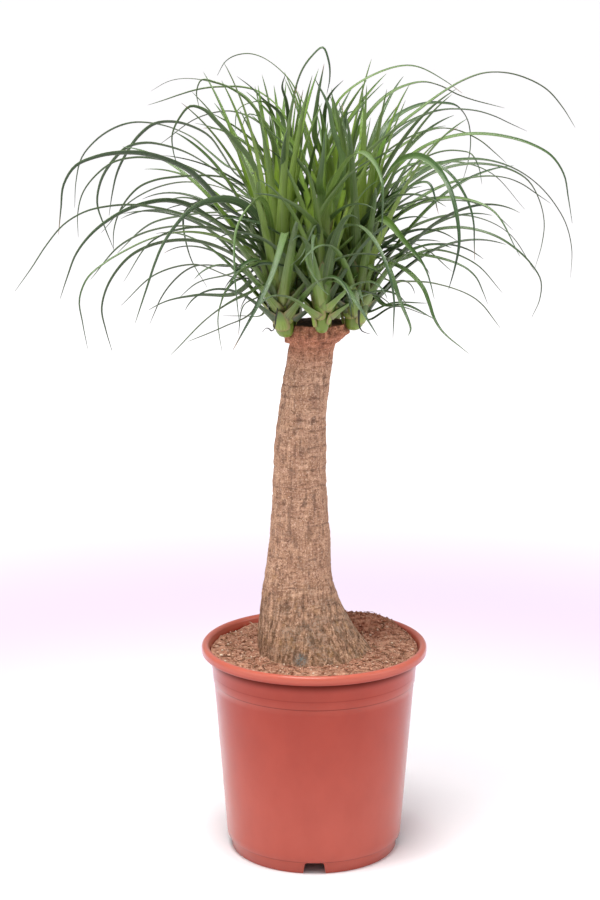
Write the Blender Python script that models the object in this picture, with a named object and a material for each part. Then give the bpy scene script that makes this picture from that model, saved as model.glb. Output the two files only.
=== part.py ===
"""Potted ponytail palm (Beaucarnea recurvata) in a plastic nursery pot.

The pot's axis is +Z through the origin, the floor is z = 0, and the front of the plant
faces -Y. Every length is in metres, apart from the leaf routes, which are in centimetres.
"""

import math

import bmesh
import bpy
from mathutils import Vector
from mathutils.bvhtree import BVHTree

# Pot
POT_HEIGHT = 0.2266
RIM_RADIUS = 0.120
RIM_DROP = 0.0095
RIM_MOUTH_RADIUS = 0.1120
RIM_CHAMFER = 0.001
FLARE_STEP = 0.0004
FLARE_DROP = 0.0026
WALL_FOOT_RADIUS = 0.0940
WALL_TOP_RADIUS = 0.1078
WALL_TOP_Z = 0.196
WALL_THICKNESS = 0.0022
BAND_Z = 0.186
BAND_STEP = 0.0008
FOOT_RADIUS = 0.0893
FOOT_HEIGHT = 0.0144
FOOT_STEP = 0.0012
FOOT_WIDTH = 0.0055
FLOOR_Z = 0.0160
FLOOR_THICKNESS = 0.0025
SLOT_COUNT = 4
SLOT_HEIGHT = 0.0122
SLOT_TOP_WIDTH = 0.020
SLOT_FOOT_WIDTH = 0.024
DRAIN_COUNT = 8
DRAIN_RADIUS = 0.005
DRAIN_CIRCLE_RADIUS = 0.058
POT_SEGMENTS = 72

# Soil
GAP = 0.0004
SOIL_EDGE_Z = 0.2165
SOIL_MOUND = 0.0045
SOIL_LUMP = 0.0022
SOIL_HEAP = 0.0085
SOIL_HEAP_PLACE = (0.052, 0.076)
SOIL_HEAP_SIZE = (0.052, 0.034)
SOIL_HOLE_HEIGHTS = (0.205, 0.195, 0.182, 0.170)
SOIL_HOLE_BULGE = 0.010
SOIL_SEGMENTS = 48
SOIL_TOP_RINGS = 5

# Trunk: (height, centre x, centre y, radius) from the buried root crown to the cut top
TRUNK_SECTIONS = (
    (0.158, 0.004, 0.000, 0.0460),
    (0.182, 0.006, 0.000, 0.0620),
    (0.206, 0.003, 0.000, 0.0625),
    (0.234, -0.0065, 0.001, 0.0540),
    (0.262, -0.0130, 0.002, 0.0452),
    (0.295, -0.0174, 0.002, 0.0362),
    (0.339, -0.0158, 0.001, 0.0314),
    (0.382, -0.0162, 0.000, 0.0286),
    (0.436, -0.0152, 0.000, 0.0265),
    (0.490, -0.0112, 0.001, 0.0242),
    (0.532, -0.0050, 0.002, 0.0238),
    (0.548, -0.0025, 0.002, 0.0255),
    (0.558, 0.0010, 0.001, 0.0325),
    (0.566, 0.0015, 0.001, 0.0350),
    (0.571, 0.0015, 0.001, 0.0325),
)
TRUNK_RINGS = 44
TRUNK_SEGMENTS = 28
TRUNK_RIPPLE = 0.018
TRUNK_FOOT_BULGE = 0.006
TRUNK_TOP_BULGE = 0.001
TRUNK_HEAD_Z = 0.535

# Shoots: (name, base on the trunk's head, top of the spear, neck radius)
SHOOTS = (
    ("shoot_front", (0.007, -0.0385, 0.567), (0.008, -0.046, 0.700), 0.0095),
    ("shoot_left", (-0.030, -0.0220, 0.560), (-0.047, -0.027, 0.700), 0.0125),
    ("shoot_right", (0.040, -0.0080, 0.565), (0.052, -0.006, 0.705), 0.0130),
    ("shoot_back_left", (-0.024, 0.0300, 0.566), (-0.034, 0.042, 0.712), 0.0120),
    ("shoot_back_right", (0.020, 0.0340, 0.567), (0.026, 0.048, 0.715), 0.0120),
)
SHOOT_RINGS = 9
SHOOT_SEGMENTS = 12

# Leaves
EYE = Vector((-0.015, -2.17, 0.92))
KEEL_SHARE = 0.16
LEAF_CLEARANCE = 0.0006
LEAF_STATIONS = 13
LEAF_EDGE = 0.0005
LEAF_LIFT = 0.022
SIDEWAYS_REACH = 0.06
SHORTEST_HEADING = 0.02
ROOT_SHIFT = 0.03
DEPTH_SHIFT = 0.4
CM = 0.01
MM = 0.001

# Each row: shoot, root height up the shoot (0 to 1), depth of the tip (y, cm), blade width
# (mm), roll (degrees), then the route (x, z) from the shoot to the tip as it looks from EYE.
LEFT_LEAVES = (
    ("left", 0.42, -17, 10, 18, ((-8.6, 66.0), (-14.2, 68.4), (-19.6, 69.2), (-24.2, 68.2), (-30.8, 60.4))),
    ("left", 0.55, -12, 12, 35, ((-9.2, 66.9), (-14.3, 69.6), (-19.6, 68.5), (-24.0, 64.9), (-26.2, 59.6))),
    ("left", 0.40, -14, 9, 25, ((-8.2, 65.2), (-14.1, 66.4), (-18.9, 64.8), (-24.0, 60.6), (-23.5, 54.4))),
    ("left", 0.30, -6, 10, 25, ((-7.2, 63.3), (-13.5, 65.6), (-18.7, 64.1), (-21.9, 59.0), (-21.0, 54.2))),
    ("left", 0.60, -15, 13, 62, ((-7.6, 69.4), (-11.8, 69.2), (-15.0, 66.0), (-17.6, 59.7), (-18.5, 57.1))),
    ("left", 0.62, -21, 8, 60, ((-5.9, 69.8), (-7.8, 67.3), (-8.2, 62.1), (-7.8, 57.2))),
    ("left", 0.18, -20, 10, 55, ((-7.0, 60.0), (-10.5, 58.0), (-14.9, 53.7))),
    ("left", 0.35, -17, 8, 38, ((-6.3, 63.1), (-8.6, 61.3), (-10.0, 57.0), (-9.6, 54.1))),
    ("left", 0.12, -11, 8, 20, ((-6.4, 58.2), (-9.3, 56.7), (-13.1, 55.1))),
    ("left", 0.20, -3, 12, 40, ((-8.0, 60.1), (-12.2, 59.9), (-15.8, 59.1), (-17.1, 58.4))),
    ("left", 0.27, 3, 8, 20, ((-8.8, 62.9), (-12.4, 62.9), (-15.4, 60.3), (-17.0, 57.0))),
    ("left", 0.80, 8, 9, 18, ((-8.1, 71.0), (-13.0, 74.5), (-18.9, 75.1), (-22.2, 70.0), (-20.6, 64.7))),
    ("left", 0.70, -8, 14, 32, ((-8.2, 68.3), (-13.2, 72.9), (-18.7, 74.5), (-24.8, 72.7), (-26.2, 66.3))),
    ("back_left", 0.55, 6, 9, 22, ((-9.0, 70.9), (-15.0, 73.7), (-20.3, 73.6), (-24.0, 69.6), (-24.2, 66.0))),
    ("left", 0.68, 0, 9, 15, ((-7.5, 71.2), (-13.3, 72.1), (-17.9, 71.0), (-20.5, 66.9), (-20.6, 64.6))),
    ("back_left", 0.80, 13, 10, 30, ((-7.2, 71.6), (-11.3, 76.6), (-15.9, 77.5), (-20.1, 72.5), (-21.0, 68.2))),
    ("back_left", 0.90, 20, 8, 20, ((-8.1, 72.7), (-13.6, 76.7), (-19.8, 77.2), (-23.9, 73.5), (-24.5, 69.0))),
    ("left", 0.88, -5, 11, 40, ((-5.8, 71.9), (-9.0, 76.6), (-12.4, 79.2), (-14.5, 76.0), (-13.9, 73.0))),
    ("back_left", 0.88, 15, 10, 15, ((-4.6, 76.3), (-8.0, 78.6), (-11.4, 78.2), (-15.8, 75.3))),
    ("back_left", 0.95, 17, 10, 12, ((-2.9, 78.0), (-5.6, 80.6), (-10.1, 81.1), (-16.8, 79.3))),
    ("left", 0.95, -2, 13, 35, ((-4.4, 76.4), (-8.5, 81.0), (-11.8, 81.6), (-11.7, 79.0))),
    ("back_left", 0.70, 24, 8, 12, ((-7.6, 68.6), (-12.8, 68.2), (-17.1, 67.1), (-20.2, 64.3))),
)
RIGHT_LEAVES = (
    ("right", 0.90, 7, 11, 16, ((6.6, 74.6), (10.9, 79.1), (18.1, 82.6), (23.8, 80.5), (26.3, 77.1))),
    ("back_right", 0.92, 14, 10, 20, ((4.6, 77.0), (7.8, 80.6), (11.2, 81.6), (15.0, 80.1), (19.1, 79.0))),
    ("right", 0.82, 12, 10, 15, ((6.8, 76.3), (12.0, 79.5), (15.2, 78.4), (15.8, 75.0), (14.9, 71.2))),
    ("back_right", 0.80, 11, 9, 12, ((8.0, 76.2), (11.9, 78.6), (16.4, 78.7), (21.4, 76.7))),
    ("back_right", 0.70, 17, 9, 12, ((7.8, 74.4), (13.0, 77.0), (16.3, 76.0), (19.4, 73.5))),
    ("right", 0.72, -3, 10, 25, ((8.6, 73.2), (13.0, 75.9), (18.1, 76.3), (24.6, 73.6), (26.3, 67.4))),
    ("right", 0.62, -10, 10, 30, ((9.3, 72.6), (13.4, 74.7), (16.2, 74.1), (17.0, 71.4))),
    ("right", 0.58, 15, 9, 20, ((10.4, 72.2), (17.2, 73.8), (22.6, 71.4), (26.3, 65.2), (26.3, 61.8))),
    ("right", 0.52, 3, 9, 15, ((10.8, 71.8), (16.6, 73.4), (21.7, 71.7), (23.5, 66.9), (22.6, 62.7))),
    ("right", 0.38, 10, 10, 12, ((8.6, 68.1), (14.0, 71.5), (19.8, 71.9), (24.0, 69.4))),
    ("back_right", 0.50, 20, 9, 12, ((8.4, 68.7), (13.5, 69.7), (17.5, 69.0), (20.2, 66.7))),
    ("right", 0.30, -6, 10, 20, ((8.6, 64.9), (14.2, 66.9), (19.8, 65.3), (23.4, 60.6), (22.4, 57.6))),
    ("right", 0.70, -19, 13, 58, ((8.0, 73.2), (11.3, 73.9), (14.0, 70.2), (14.8, 65.4), (13.8, 60.6))),
    ("right", 0.66, -9, 9, 30, ((9.0, 73.0), (12.7, 73.1), (15.9, 68.8), (16.4, 63.6))),
    ("right", 0.50, -20, 12, 52, ((6.4, 67.6), (9.4, 65.3), (11.7, 61.9), (12.3, 59.6))),
    ("right", 0.26, -13, 9, 35, ((8.0, 63.1), (11.0, 60.9), (12.7, 56.8), (16.0, 53.8))),
    ("right", 0.24, -7, 9, 25, ((8.3, 63.7), (12.6, 63.8), (16.4, 62.0), (17.8, 59.1))),
    ("right", 0.16, 6, 8, 12, ((7.9, 61.4), (12.6, 61.1), (16.9, 59.3), (19.1, 56.6))),
    ("right", 0.10, -10, 8, 20, ((7.0, 59.0), (9.4, 58.9), (12.4, 57.4))),
)
FRONT_LEAVES = (
    ("front", 0.50, -17, 12, 4, ((4.4, 67.1), (6.6, 64.7), (8.1, 60.0), (8.1, 55.5))),
    ("front", 0.18, -14, 11, 10, ((2.5, 61.3), (4.4, 59.0), (6.5, 55.7))),
    ("left", 0.52, -15, 13, 8, ((-3.0, 66.4), (-4.9, 60.8), (-8.4, 54.3))),
    ("front", 0.70, -26, 12, 24, ((3.3, 73.7), (5.4, 74.2), (6.9, 71.2), (6.8, 66.0))),
    ("front", 0.95, -9, 13, 5, ((0.5, 71.0), (0.8, 74.0), (1.0, 76.6))),
)
CROWN_LEAVES = (
    ("back_left", 1.00, 5, 13, 25, ((-2.4, 79.0), (-0.6, 83.8), (0.7, 85.0), (1.5, 82.6), (1.2, 80.4))),
    ("back_right", 0.96, 2, 12, 10, ((0.0, 76.0), (0.2, 79.5), (0.9, 83.3))),
    ("back_right", 0.60, 26, 10, 20, ((2.6, 75.0), (3.4, 78.5), (4.2, 79.0), (5.0, 76.5))),
    ("back_left", 0.60, 26, 10, 20, ((-3.6, 74.0), (-5.0, 77.6), (-6.4, 78.6), (-7.6, 76.4))),
)
DRIED_LEAVES = (
    ("left", 0.02, -7, 5, 30, ((-4.4, 56.2), (-5.0, 56.5), (-5.4, 56.1))),
    ("right", 0.02, -4, 5, 30, ((4.9, 56.2), (5.3, 56.0), (5.7, 55.9))),
)


def clear_scene():
    for old in list(bpy.data.objects):
        bpy.data.objects.remove(old, do_unlink=True)


def material(name, colour, roughness):
    made = bpy.data.materials.new(name)
    made.use_nodes = True
    shader = made.node_tree.nodes["Principled BSDF"]
    shader.inputs["Base Color"].default_value = (*colour, 1.0)
    shader.inputs["Roughness"].default_value = roughness
    shader.inputs["Metallic"].default_value = 0.0
    return made


def lofted(rings, start=None, end=None):
    """A closed mesh through rings of equal length, each end closed by a point or a cap."""
    mesh = bmesh.new()
    loops = [[mesh.verts.new(point) for point in ring] for ring in rings]
    count = len(loops[0])
    for low, high in zip(loops, loops[1:]):
        for i in range(count):
            j = (i + 1) % count
            mesh.faces.new((low[i], low[j], high[j], high[i]))
    for loop, point in ((loops[0], start), (loops[-1], end)):
        if point is None:
            mesh.faces.new(loop)
            continue
        tip = mesh.verts.new(point)
        for i in range(count):
            mesh.faces.new((loop[i], loop[(i + 1) % count], tip))
    bmesh.ops.triangulate(mesh, faces=mesh.faces[:])
    bmesh.ops.recalc_face_normals(mesh, faces=mesh.faces[:])
    if mesh.calc_volume(signed=True) < 0:
        bmesh.ops.reverse_faces(mesh, faces=mesh.faces[:])
    return mesh


def placed(name, mesh, slot):
    data = bpy.data.meshes.new(name)
    mesh.to_mesh(data)
    mesh.free()
    data.materials.append(slot)
    data.shade_smooth()
    data.set_sharp_from_angle(angle=math.radians(35))
    made = bpy.data.objects.new(name, data)
    bpy.context.scene.collection.objects.link(made)
    return made


def circle(radius, z, segments):
    turns = [2 * math.pi * i / segments for i in range(segments)]
    return [Vector((radius * math.cos(a), radius * math.sin(a), z)) for a in turns]


def cut_away(target, cutter):
    cutter.hide_render = True
    cutter.display_type = "WIRE"
    boolean = target.modifiers.new(cutter.name, "BOOLEAN")
    boolean.operation = "DIFFERENCE"
    boolean.object = cutter


def wall_radius(z):
    """Outer radius of the pot's straight taper, from the foot's step to the flare."""
    share = (z - FOOT_HEIGHT) / (WALL_TOP_Z - FOOT_HEIGHT)
    return WALL_FOOT_RADIUS + share * (WALL_TOP_RADIUS - WALL_FOOT_RADIUS)


def mouth_radius(z):
    """Inner radius of the pot: the tapered wall, then the flare up to the mouth."""
    if z <= WALL_TOP_Z:
        return wall_radius(z) - WALL_THICKNESS
    share = (z - WALL_TOP_Z) / (POT_HEIGHT - RIM_DROP - WALL_TOP_Z)
    low = WALL_TOP_RADIUS - WALL_THICKNESS
    return low + min(share, 1.0) * (RIM_MOUTH_RADIUS - RIM_CHAMFER - low)


def pot_profile():
    """(radius, z) from the middle of the floor's underside, round the rim, to its top."""
    foot_top = FOOT_RADIUS + FOOT_STEP
    rim_low = POT_HEIGHT - RIM_DROP
    crown = (RIM_RADIUS - RIM_MOUTH_RADIUS) / 2
    crown_middle = RIM_RADIUS - crown
    profile = [
        (FOOT_RADIUS - FOOT_WIDTH, FLOOR_Z - FLOOR_THICKNESS),
        (FOOT_RADIUS - FOOT_WIDTH, 0.0),
        (FOOT_RADIUS, 0.0),
        (foot_top, FOOT_HEIGHT - FOOT_STEP),
        (wall_radius(FOOT_HEIGHT), FOOT_HEIGHT),
        (wall_radius(BAND_Z), BAND_Z),
        (wall_radius(BAND_Z) + BAND_STEP, BAND_Z + BAND_STEP),
        (WALL_TOP_RADIUS + BAND_STEP, WALL_TOP_Z),
        (RIM_MOUTH_RADIUS + FLARE_STEP, rim_low - FLARE_DROP),
        (RIM_RADIUS - RIM_CHAMFER, rim_low),
        (RIM_RADIUS, rim_low + RIM_CHAMFER),
    ]
    for step in range(7):
        turn = math.pi * step / 6
        profile.append((crown_middle + crown * math.cos(turn), POT_HEIGHT - crown + crown * math.sin(turn)))
    profile += [
        (mouth_radius(rim_low), rim_low),
        (mouth_radius(WALL_TOP_Z), WALL_TOP_Z),
        (mouth_radius(FLOOR_Z), FLOOR_Z),
    ]
    return profile


def slot_cutter(turn):
    """A wedge that opens one drainage slot through the foot ring, facing the angle turn."""
    outward = Vector((math.cos(turn), math.sin(turn), 0))
    side = Vector((-math.sin(turn), math.cos(turn), 0))
    rings = []
    for reach in (FOOT_RADIUS - 3 * FOOT_WIDTH, FOOT_RADIUS + 2 * FOOT_WIDTH):
        ring = []
        for across, z in (
            (-SLOT_FOOT_WIDTH / 2, -FOOT_STEP),
            (SLOT_FOOT_WIDTH / 2, -FOOT_STEP),
            (SLOT_TOP_WIDTH / 2, SLOT_HEIGHT),
            (-SLOT_TOP_WIDTH / 2, SLOT_HEIGHT),
        ):
            ring.append(outward * reach + side * across + Vector((0, 0, z)))
        rings.append(ring)
    return lofted(rings)


def drain_cutter(turn):
    middle = Vector((math.cos(turn), math.sin(turn), 0)) * DRAIN_CIRCLE_RADIUS
    rings = []
    for z in (FLOOR_Z - 2 * FLOOR_THICKNESS, FLOOR_Z + FLOOR_THICKNESS):
        rings.append([point + middle for point in circle(DRAIN_RADIUS, z, 12)])
    return lofted(rings)


def make_pot(slot):
    rings = [circle(radius, z, POT_SEGMENTS) for radius, z in pot_profile()]
    under = Vector((0, 0, FLOOR_Z - FLOOR_THICKNESS))
    pot = placed("pot", lofted(rings, start=under, end=Vector((0, 0, FLOOR_Z))), slot)
    for i in range(SLOT_COUNT):
        turn = 2 * math.pi * i / SLOT_COUNT - math.pi / 2
        cut_away(pot, placed(f"slot_cutter_{i + 1}", slot_cutter(turn), slot))
    for i in range(DRAIN_COUNT):
        turn = 2 * math.pi * (i + 0.5) / DRAIN_COUNT
        cut_away(pot, placed(f"drain_cutter_{i + 1}", drain_cutter(turn), slot))


def smooth(knots, rows, at):
    """The value at a knot position, on a cubic that passes through every row."""
    i = max(k for k, knot in enumerate(knots[:-1]) if knot <= at or k == 0)
    spans = [b - a for a, b in zip(knots, knots[1:])]
    steps = [[(q - p) / span for p, q in zip(a, b)] for a, b, span in zip(rows, rows[1:], spans)]

    def slope(k):
        if k in (0, len(steps)):
            return steps[min(k, len(steps) - 1)]
        before, after = spans[k - 1], spans[k]
        pairs = zip(steps[k - 1], steps[k])
        return [(p * after + q * before) / (before + after) for p, q in pairs]

    t = (at - knots[i]) / spans[i]
    out = []
    for p, q, m, n in zip(rows[i], rows[i + 1], slope(i), slope(i + 1)):
        ends = p * (1 + 2 * t) * (1 - t) ** 2 + q * t * t * (3 - 2 * t)
        out.append(ends + spans[i] * (m * t * (1 - t) ** 2 - n * t * t * (1 - t)))
    return out


def trunk_section(z):
    """(centre x, centre y, radius) of the trunk at a height."""
    return smooth([row[0] for row in TRUNK_SECTIONS], [row[1:] for row in TRUNK_SECTIONS], z)


def trunk_ring(z, segments, grow=0.0):
    x, y, radius = trunk_section(z)
    ring = []
    for i in range(segments):
        turn = 2 * math.pi * i / segments
        ripple = math.sin(3 * turn + 9 * z) + 0.6 * math.sin(5 * turn - 31 * z + 1)
        reach = radius * (1 + TRUNK_RIPPLE * ripple) + grow
        ring.append(Vector((x + reach * math.cos(turn), y + reach * math.sin(turn), z)))
    return ring


def trunk_mesh(low, rings, grow=0.0):
    """The trunk from a height up to its cut top, swollen by grow on every side."""
    high = TRUNK_SECTIONS[-1][0]
    heights = [low + (high - low) * i / (rings - 1) for i in range(rings)]
    loops = [trunk_ring(z, TRUNK_SEGMENTS, grow) for z in heights]
    for point in loops[-1]:
        point.z += grow
    x, y, _ = trunk_section(high)
    foot_x, foot_y, _ = trunk_section(low)
    under = Vector((foot_x, foot_y, low - TRUNK_FOOT_BULGE))
    return lofted(loops, start=under, end=Vector((x, y, high + grow + TRUNK_TOP_BULGE)))


def make_trunk(slot):
    return placed("trunk", trunk_mesh(TRUNK_SECTIONS[0][0], TRUNK_RINGS), slot)


def soil_height(x, y):
    """Level of the soil: lumps, a slope up to the back, and a heap at the back right."""
    lumps = math.sin(95 * x + 2) * math.sin(88 * y) + 0.7 * math.sin(160 * x - 120 * y + 1)
    slope = max(0.0, 0.6 * x + 0.8 * y) / RIM_RADIUS
    (middle_x, middle_y), (size_x, size_y) = SOIL_HEAP_PLACE, SOIL_HEAP_SIZE
    heap = math.exp(-(((x - middle_x) / size_x) ** 2) - ((y - middle_y) / size_y) ** 2)
    return SOIL_EDGE_Z + SOIL_LUMP * lumps + SOIL_MOUND * slope + SOIL_HEAP * heap


def make_soil(slot):
    floor = FLOOR_Z + GAP
    levels = (floor, 0.5 * SOIL_EDGE_Z, WALL_TOP_Z, SOIL_EDGE_Z - 2 * SOIL_LUMP)
    rings = [circle(mouth_radius(z) - 2 * GAP, z, SOIL_SEGMENTS) for z in levels]
    mouth = circle(mouth_radius(SOIL_EDGE_Z) - 2 * GAP, SOIL_EDGE_Z, SOIL_SEGMENTS)
    hole = trunk_ring(SOIL_EDGE_Z, SOIL_SEGMENTS, 4 * GAP)
    for step in range(SOIL_TOP_RINGS + 1):
        share = step / SOIL_TOP_RINGS
        ring = []
        for outer, inner in zip(mouth, hole):
            point = outer.lerp(inner, share)
            point.z = soil_height(point.x, point.y)
            if step == 0:
                shrunk = (mouth_radius(point.z) - 2 * GAP) / outer.xy.length
                point.xy = outer.xy * shrunk
            ring.append(point)
        rings.append(ring)
    low = TRUNK_SECTIONS[0][0]
    for z in (*SOIL_HOLE_HEIGHTS, low):
        rings.append(trunk_ring(z, SOIL_SEGMENTS, 4 * GAP))
    x, y, _ = trunk_section(low)
    mesh = lofted(rings, start=Vector((0, 0, floor)), end=Vector((x, y, low - SOIL_HOLE_BULGE)))
    placed("soil", mesh, slot)


def shoot_radius(share, neck):
    """A neck that swells a little above its base and closes in a blunt spear."""
    swell = 1 + 0.18 * math.sin(math.pi * min(share / 0.5, 1.0))
    return neck * swell * math.sqrt(max(0.0, 1 - share**2.2)) + 0.0006


def make_shoot(name, base, top, neck, slot):
    base, top = Vector(base), Vector(top)
    rings = []
    for step in range(SHOOT_RINGS):
        share = step / SHOOT_RINGS
        middle = base.lerp(top, share)
        ring = circle(shoot_radius(share, neck), 0.0, SHOOT_SEGMENTS)
        rings.append([middle + point for point in ring])
    shoot = placed(name, lofted(rings, end=top), slot)
    cut_away(shoot, placed("head_of_" + name, trunk_mesh(TRUNK_HEAD_Z, 12, GAP), slot))
    return shoot


def carried(x, z, depth):
    """The point at this depth on EYE's sight line through (x, 0, z)."""
    reach = 1 + depth / -EYE.y
    return Vector((EYE.x + reach * (x - EYE.x), depth, EYE.z + reach * (z - EYE.z)))


def leaf_route(shoot, root_height, tip_depth, points):
    """The leaf's spine: off the shoot's skin, then through its points to the tip."""
    _, base, top, neck = shoot
    base, top = Vector(base), Vector(top)
    share = 0.06 + 0.88 * root_height
    axis = base.lerp(top, share)
    flat = [(x * CM, z * CM) for x, z in points]
    spans = [0.0]
    before = (axis.x, axis.z)
    for here in flat:
        spans.append(spans[-1] + math.dist(before, here))
        before = here
    widest = max(abs(x - axis.x) for x, _ in flat)
    sideways = abs(flat[-1][0] - axis.x) > SIDEWAYS_REACH
    route = []
    for (x, z), span in zip(flat, spans[1:]):
        if sideways:
            gone = abs(x - axis.x) / widest
        else:
            gone = math.sin(0.5 * math.pi * span / spans[-1])
        route.append(carried(x, z, axis.y + gone * (tip_depth * CM - axis.y)))
    away = route[0] - axis
    away.z = 0
    away.normalize()
    skin = shoot_radius(share, neck) + LEAF_CLEARANCE
    root = axis + away * skin
    lift = root + away * 0.35 * neck + Vector((0, 0, LEAF_LIFT))
    return [root, lift, *route]


def blade_width(share, width):
    """Half width along the blade: quick to full width, then a long taper to a thread."""
    opening = 0.55 + 0.45 * min(share / 0.15, 1.0)
    return 0.5 * width * opening * (1 - share) ** 0.75 + LEAF_EDGE


def leaf_mesh(route, width, roll):
    """A keeled strap: two edges and a keel at each station, closing at the tip."""
    heading = route[-1] - route[0]
    heading.z = 0
    if heading.length < SHORTEST_HEADING:
        heading = Vector((heading.x, -SHORTEST_HEADING, 0))
    level = Vector((0, 0, 1)).cross(heading.normalized())
    knots = [0.0]
    for a, b in zip(route, route[1:]):
        knots.append(knots[-1] + (b - a).length)
    spine = []
    for step in range(LEAF_STATIONS + 1):
        spine.append(Vector(smooth(knots, route, knots[-1] * step / LEAF_STATIONS)))
    rings = []
    for step in range(LEAF_STATIONS):
        here = spine[step]
        along = (spine[step + 1] - spine[max(step - 1, 0)]).normalized()
        side = (level - along * level.dot(along)).normalized()
        up = along.cross(side).normalized()
        turned = math.radians(roll) * min(3 * step / LEAF_STATIONS, 1.0)
        across = side * math.cos(turned) + up * math.sin(turned)
        under = across.cross(along).normalized()
        half = blade_width(step / LEAF_STATIONS, width)
        keel = under * (-2 * KEEL_SHARE * half - 0.0004)
        if keel.z > 0:
            keel = -keel
        rings.append([here + across * half, here - across * half, here + keel])
    return lofted(rings, end=spine[-1])


def touches(mesh, others):
    tree = BVHTree.FromBMesh(mesh)
    return any(tree.overlap(other) for other in others)


def make_leaf(name, row, slot, neighbours):
    """The leaf at its stated depth, or at the nearest depth where it clears the others."""
    shoot_name, root_height, tip_depth, width, roll, points = row
    shoot = next(each for each in SHOOTS if each[0] == "shoot_" + shoot_name)
    for lift, shift in sorted(
        ((up * ROOT_SHIFT, out * DEPTH_SHIFT) for up in range(-3, 4) for out in range(-24, 25)),
        key=lambda move: (abs(move[0]) * 20 + abs(move[1]), move),
    ):
        height = min(max(root_height + lift, 0.0), 1.0)
        route = leaf_route(shoot, height, tip_depth + shift, points)
        mesh = leaf_mesh(route, width * MM, roll)
        if not touches(mesh, neighbours):
            break
        mesh.free()
    else:
        raise ValueError(name + " has no clear place")
    neighbours.append(BVHTree.FromBMesh(mesh))
    placed(name, mesh, slot)


def skin_of(made):
    mesh = bmesh.new()
    mesh.from_mesh(made.data)
    tree = BVHTree.FromBMesh(mesh)
    mesh.free()
    return tree


def main():
    clear_scene()
    plastic = material("pot_plastic", (0.40, 0.070, 0.038), 0.42)
    peat = material("peat", (0.20, 0.095, 0.050), 0.95)
    bark = material("bark", (0.32, 0.185, 0.110), 0.85)
    green = material("leaf_green", (0.110, 0.210, 0.050), 0.45)
    pale = material("shoot_green", (0.200, 0.270, 0.060), 0.50)
    dry = material("dried_leaf", (0.050, 0.040, 0.025), 0.80)
    make_pot(plastic)
    make_soil(peat)
    neighbours = [skin_of(make_trunk(bark))]
    for name, base, top, neck in SHOOTS:
        neighbours.append(skin_of(make_shoot(name, base, top, neck, pale)))
    groups = (
        ("leaf_left", LEFT_LEAVES, green),
        ("leaf_right", RIGHT_LEAVES, green),
        ("leaf_front", FRONT_LEAVES, green),
        ("leaf_crown", CROWN_LEAVES, green),
        ("dried_leaf", DRIED_LEAVES, dry),
    )
    for stem, rows, slot in groups:
        for i, row in enumerate(rows):
            make_leaf(f"{stem}_{i + 1:02d}", row, slot, neighbours)


main()
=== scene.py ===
"""Looks of the potted ponytail palm: bark, foliage, soil and plastic around the CAD frame.

Lengths are in metres. The pot's axis is +Z through the origin, and the plant's front
faces -Y.
"""

import itertools
import math
import random

import bmesh
import bpy
import numpy as np
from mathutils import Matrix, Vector


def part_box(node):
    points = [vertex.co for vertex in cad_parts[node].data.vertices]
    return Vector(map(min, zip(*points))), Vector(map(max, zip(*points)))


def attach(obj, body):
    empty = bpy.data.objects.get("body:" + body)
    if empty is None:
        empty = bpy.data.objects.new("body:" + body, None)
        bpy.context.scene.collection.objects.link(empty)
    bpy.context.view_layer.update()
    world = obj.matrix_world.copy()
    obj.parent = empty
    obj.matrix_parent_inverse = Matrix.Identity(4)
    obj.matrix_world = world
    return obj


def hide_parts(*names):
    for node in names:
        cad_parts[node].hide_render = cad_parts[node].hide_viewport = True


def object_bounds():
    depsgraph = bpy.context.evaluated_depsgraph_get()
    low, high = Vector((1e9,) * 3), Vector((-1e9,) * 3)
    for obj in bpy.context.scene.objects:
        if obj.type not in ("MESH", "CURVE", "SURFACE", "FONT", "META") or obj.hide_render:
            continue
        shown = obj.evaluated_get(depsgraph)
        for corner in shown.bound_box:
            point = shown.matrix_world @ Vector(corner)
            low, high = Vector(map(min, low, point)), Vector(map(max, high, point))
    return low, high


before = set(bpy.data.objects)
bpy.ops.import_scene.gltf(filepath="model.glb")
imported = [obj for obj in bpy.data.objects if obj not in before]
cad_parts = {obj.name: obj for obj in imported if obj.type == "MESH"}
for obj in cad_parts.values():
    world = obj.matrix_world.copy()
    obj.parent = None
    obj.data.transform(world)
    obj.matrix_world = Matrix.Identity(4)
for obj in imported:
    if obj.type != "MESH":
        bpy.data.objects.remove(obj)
CAD_LOW, CAD_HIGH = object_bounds()

BODY = "root"
MM = 0.001
CM = 0.01
GOLDEN_TURN = math.radians(137.508)

# Camera, which is also the point the leaf routes are drawn from
EYE = Vector((-0.0151, -2.170, 0.920))
CAMERA_PITCH = 12.574
CAMERA_LENS = 85.0


# ---------------------------------------------------------------- numbers and curves

def noise3(points, seed=0):
    """Smooth value noise, -1 to 1, at each row of points."""
    points = np.asarray(points, float)
    cell = np.floor(points).astype(np.int64)
    part = points - cell
    part = part * part * (3 - 2 * part)
    total = np.zeros(len(points))
    for corner in itertools.product((0, 1), repeat=3):
        at = cell + corner
        mixed = at[:, 0] * 374761393 + at[:, 1] * 668265263 + at[:, 2] * 1442695041 + seed * 977
        mixed &= 0xFFFFFFFF
        mixed = ((mixed ^ (mixed >> 13)) * 1274126177) & 0xFFFFFFFF
        value = ((mixed ^ (mixed >> 16)) & 0xFFFF) / 32767.5 - 1
        weight = np.ones(len(points))
        for axis, side in enumerate(corner):
            weight = weight * (part[:, axis] if side else 1 - part[:, axis])
        total += weight * value
    return total


def layered(points, octaves, seed=0):
    total = np.zeros(len(points))
    for step in range(octaves):
        total += noise3(np.asarray(points) * 2**step, seed + step) / 2**step
    return total / (2 - 0.5 ** (octaves - 1))


def ease(low, high, value):
    share = np.clip((value - low) / (high - low), 0, 1)
    return share * share * (3 - 2 * share)


def unit(rows):
    return rows / np.maximum(np.linalg.norm(rows, axis=-1, keepdims=True), 1e-12)


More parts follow.
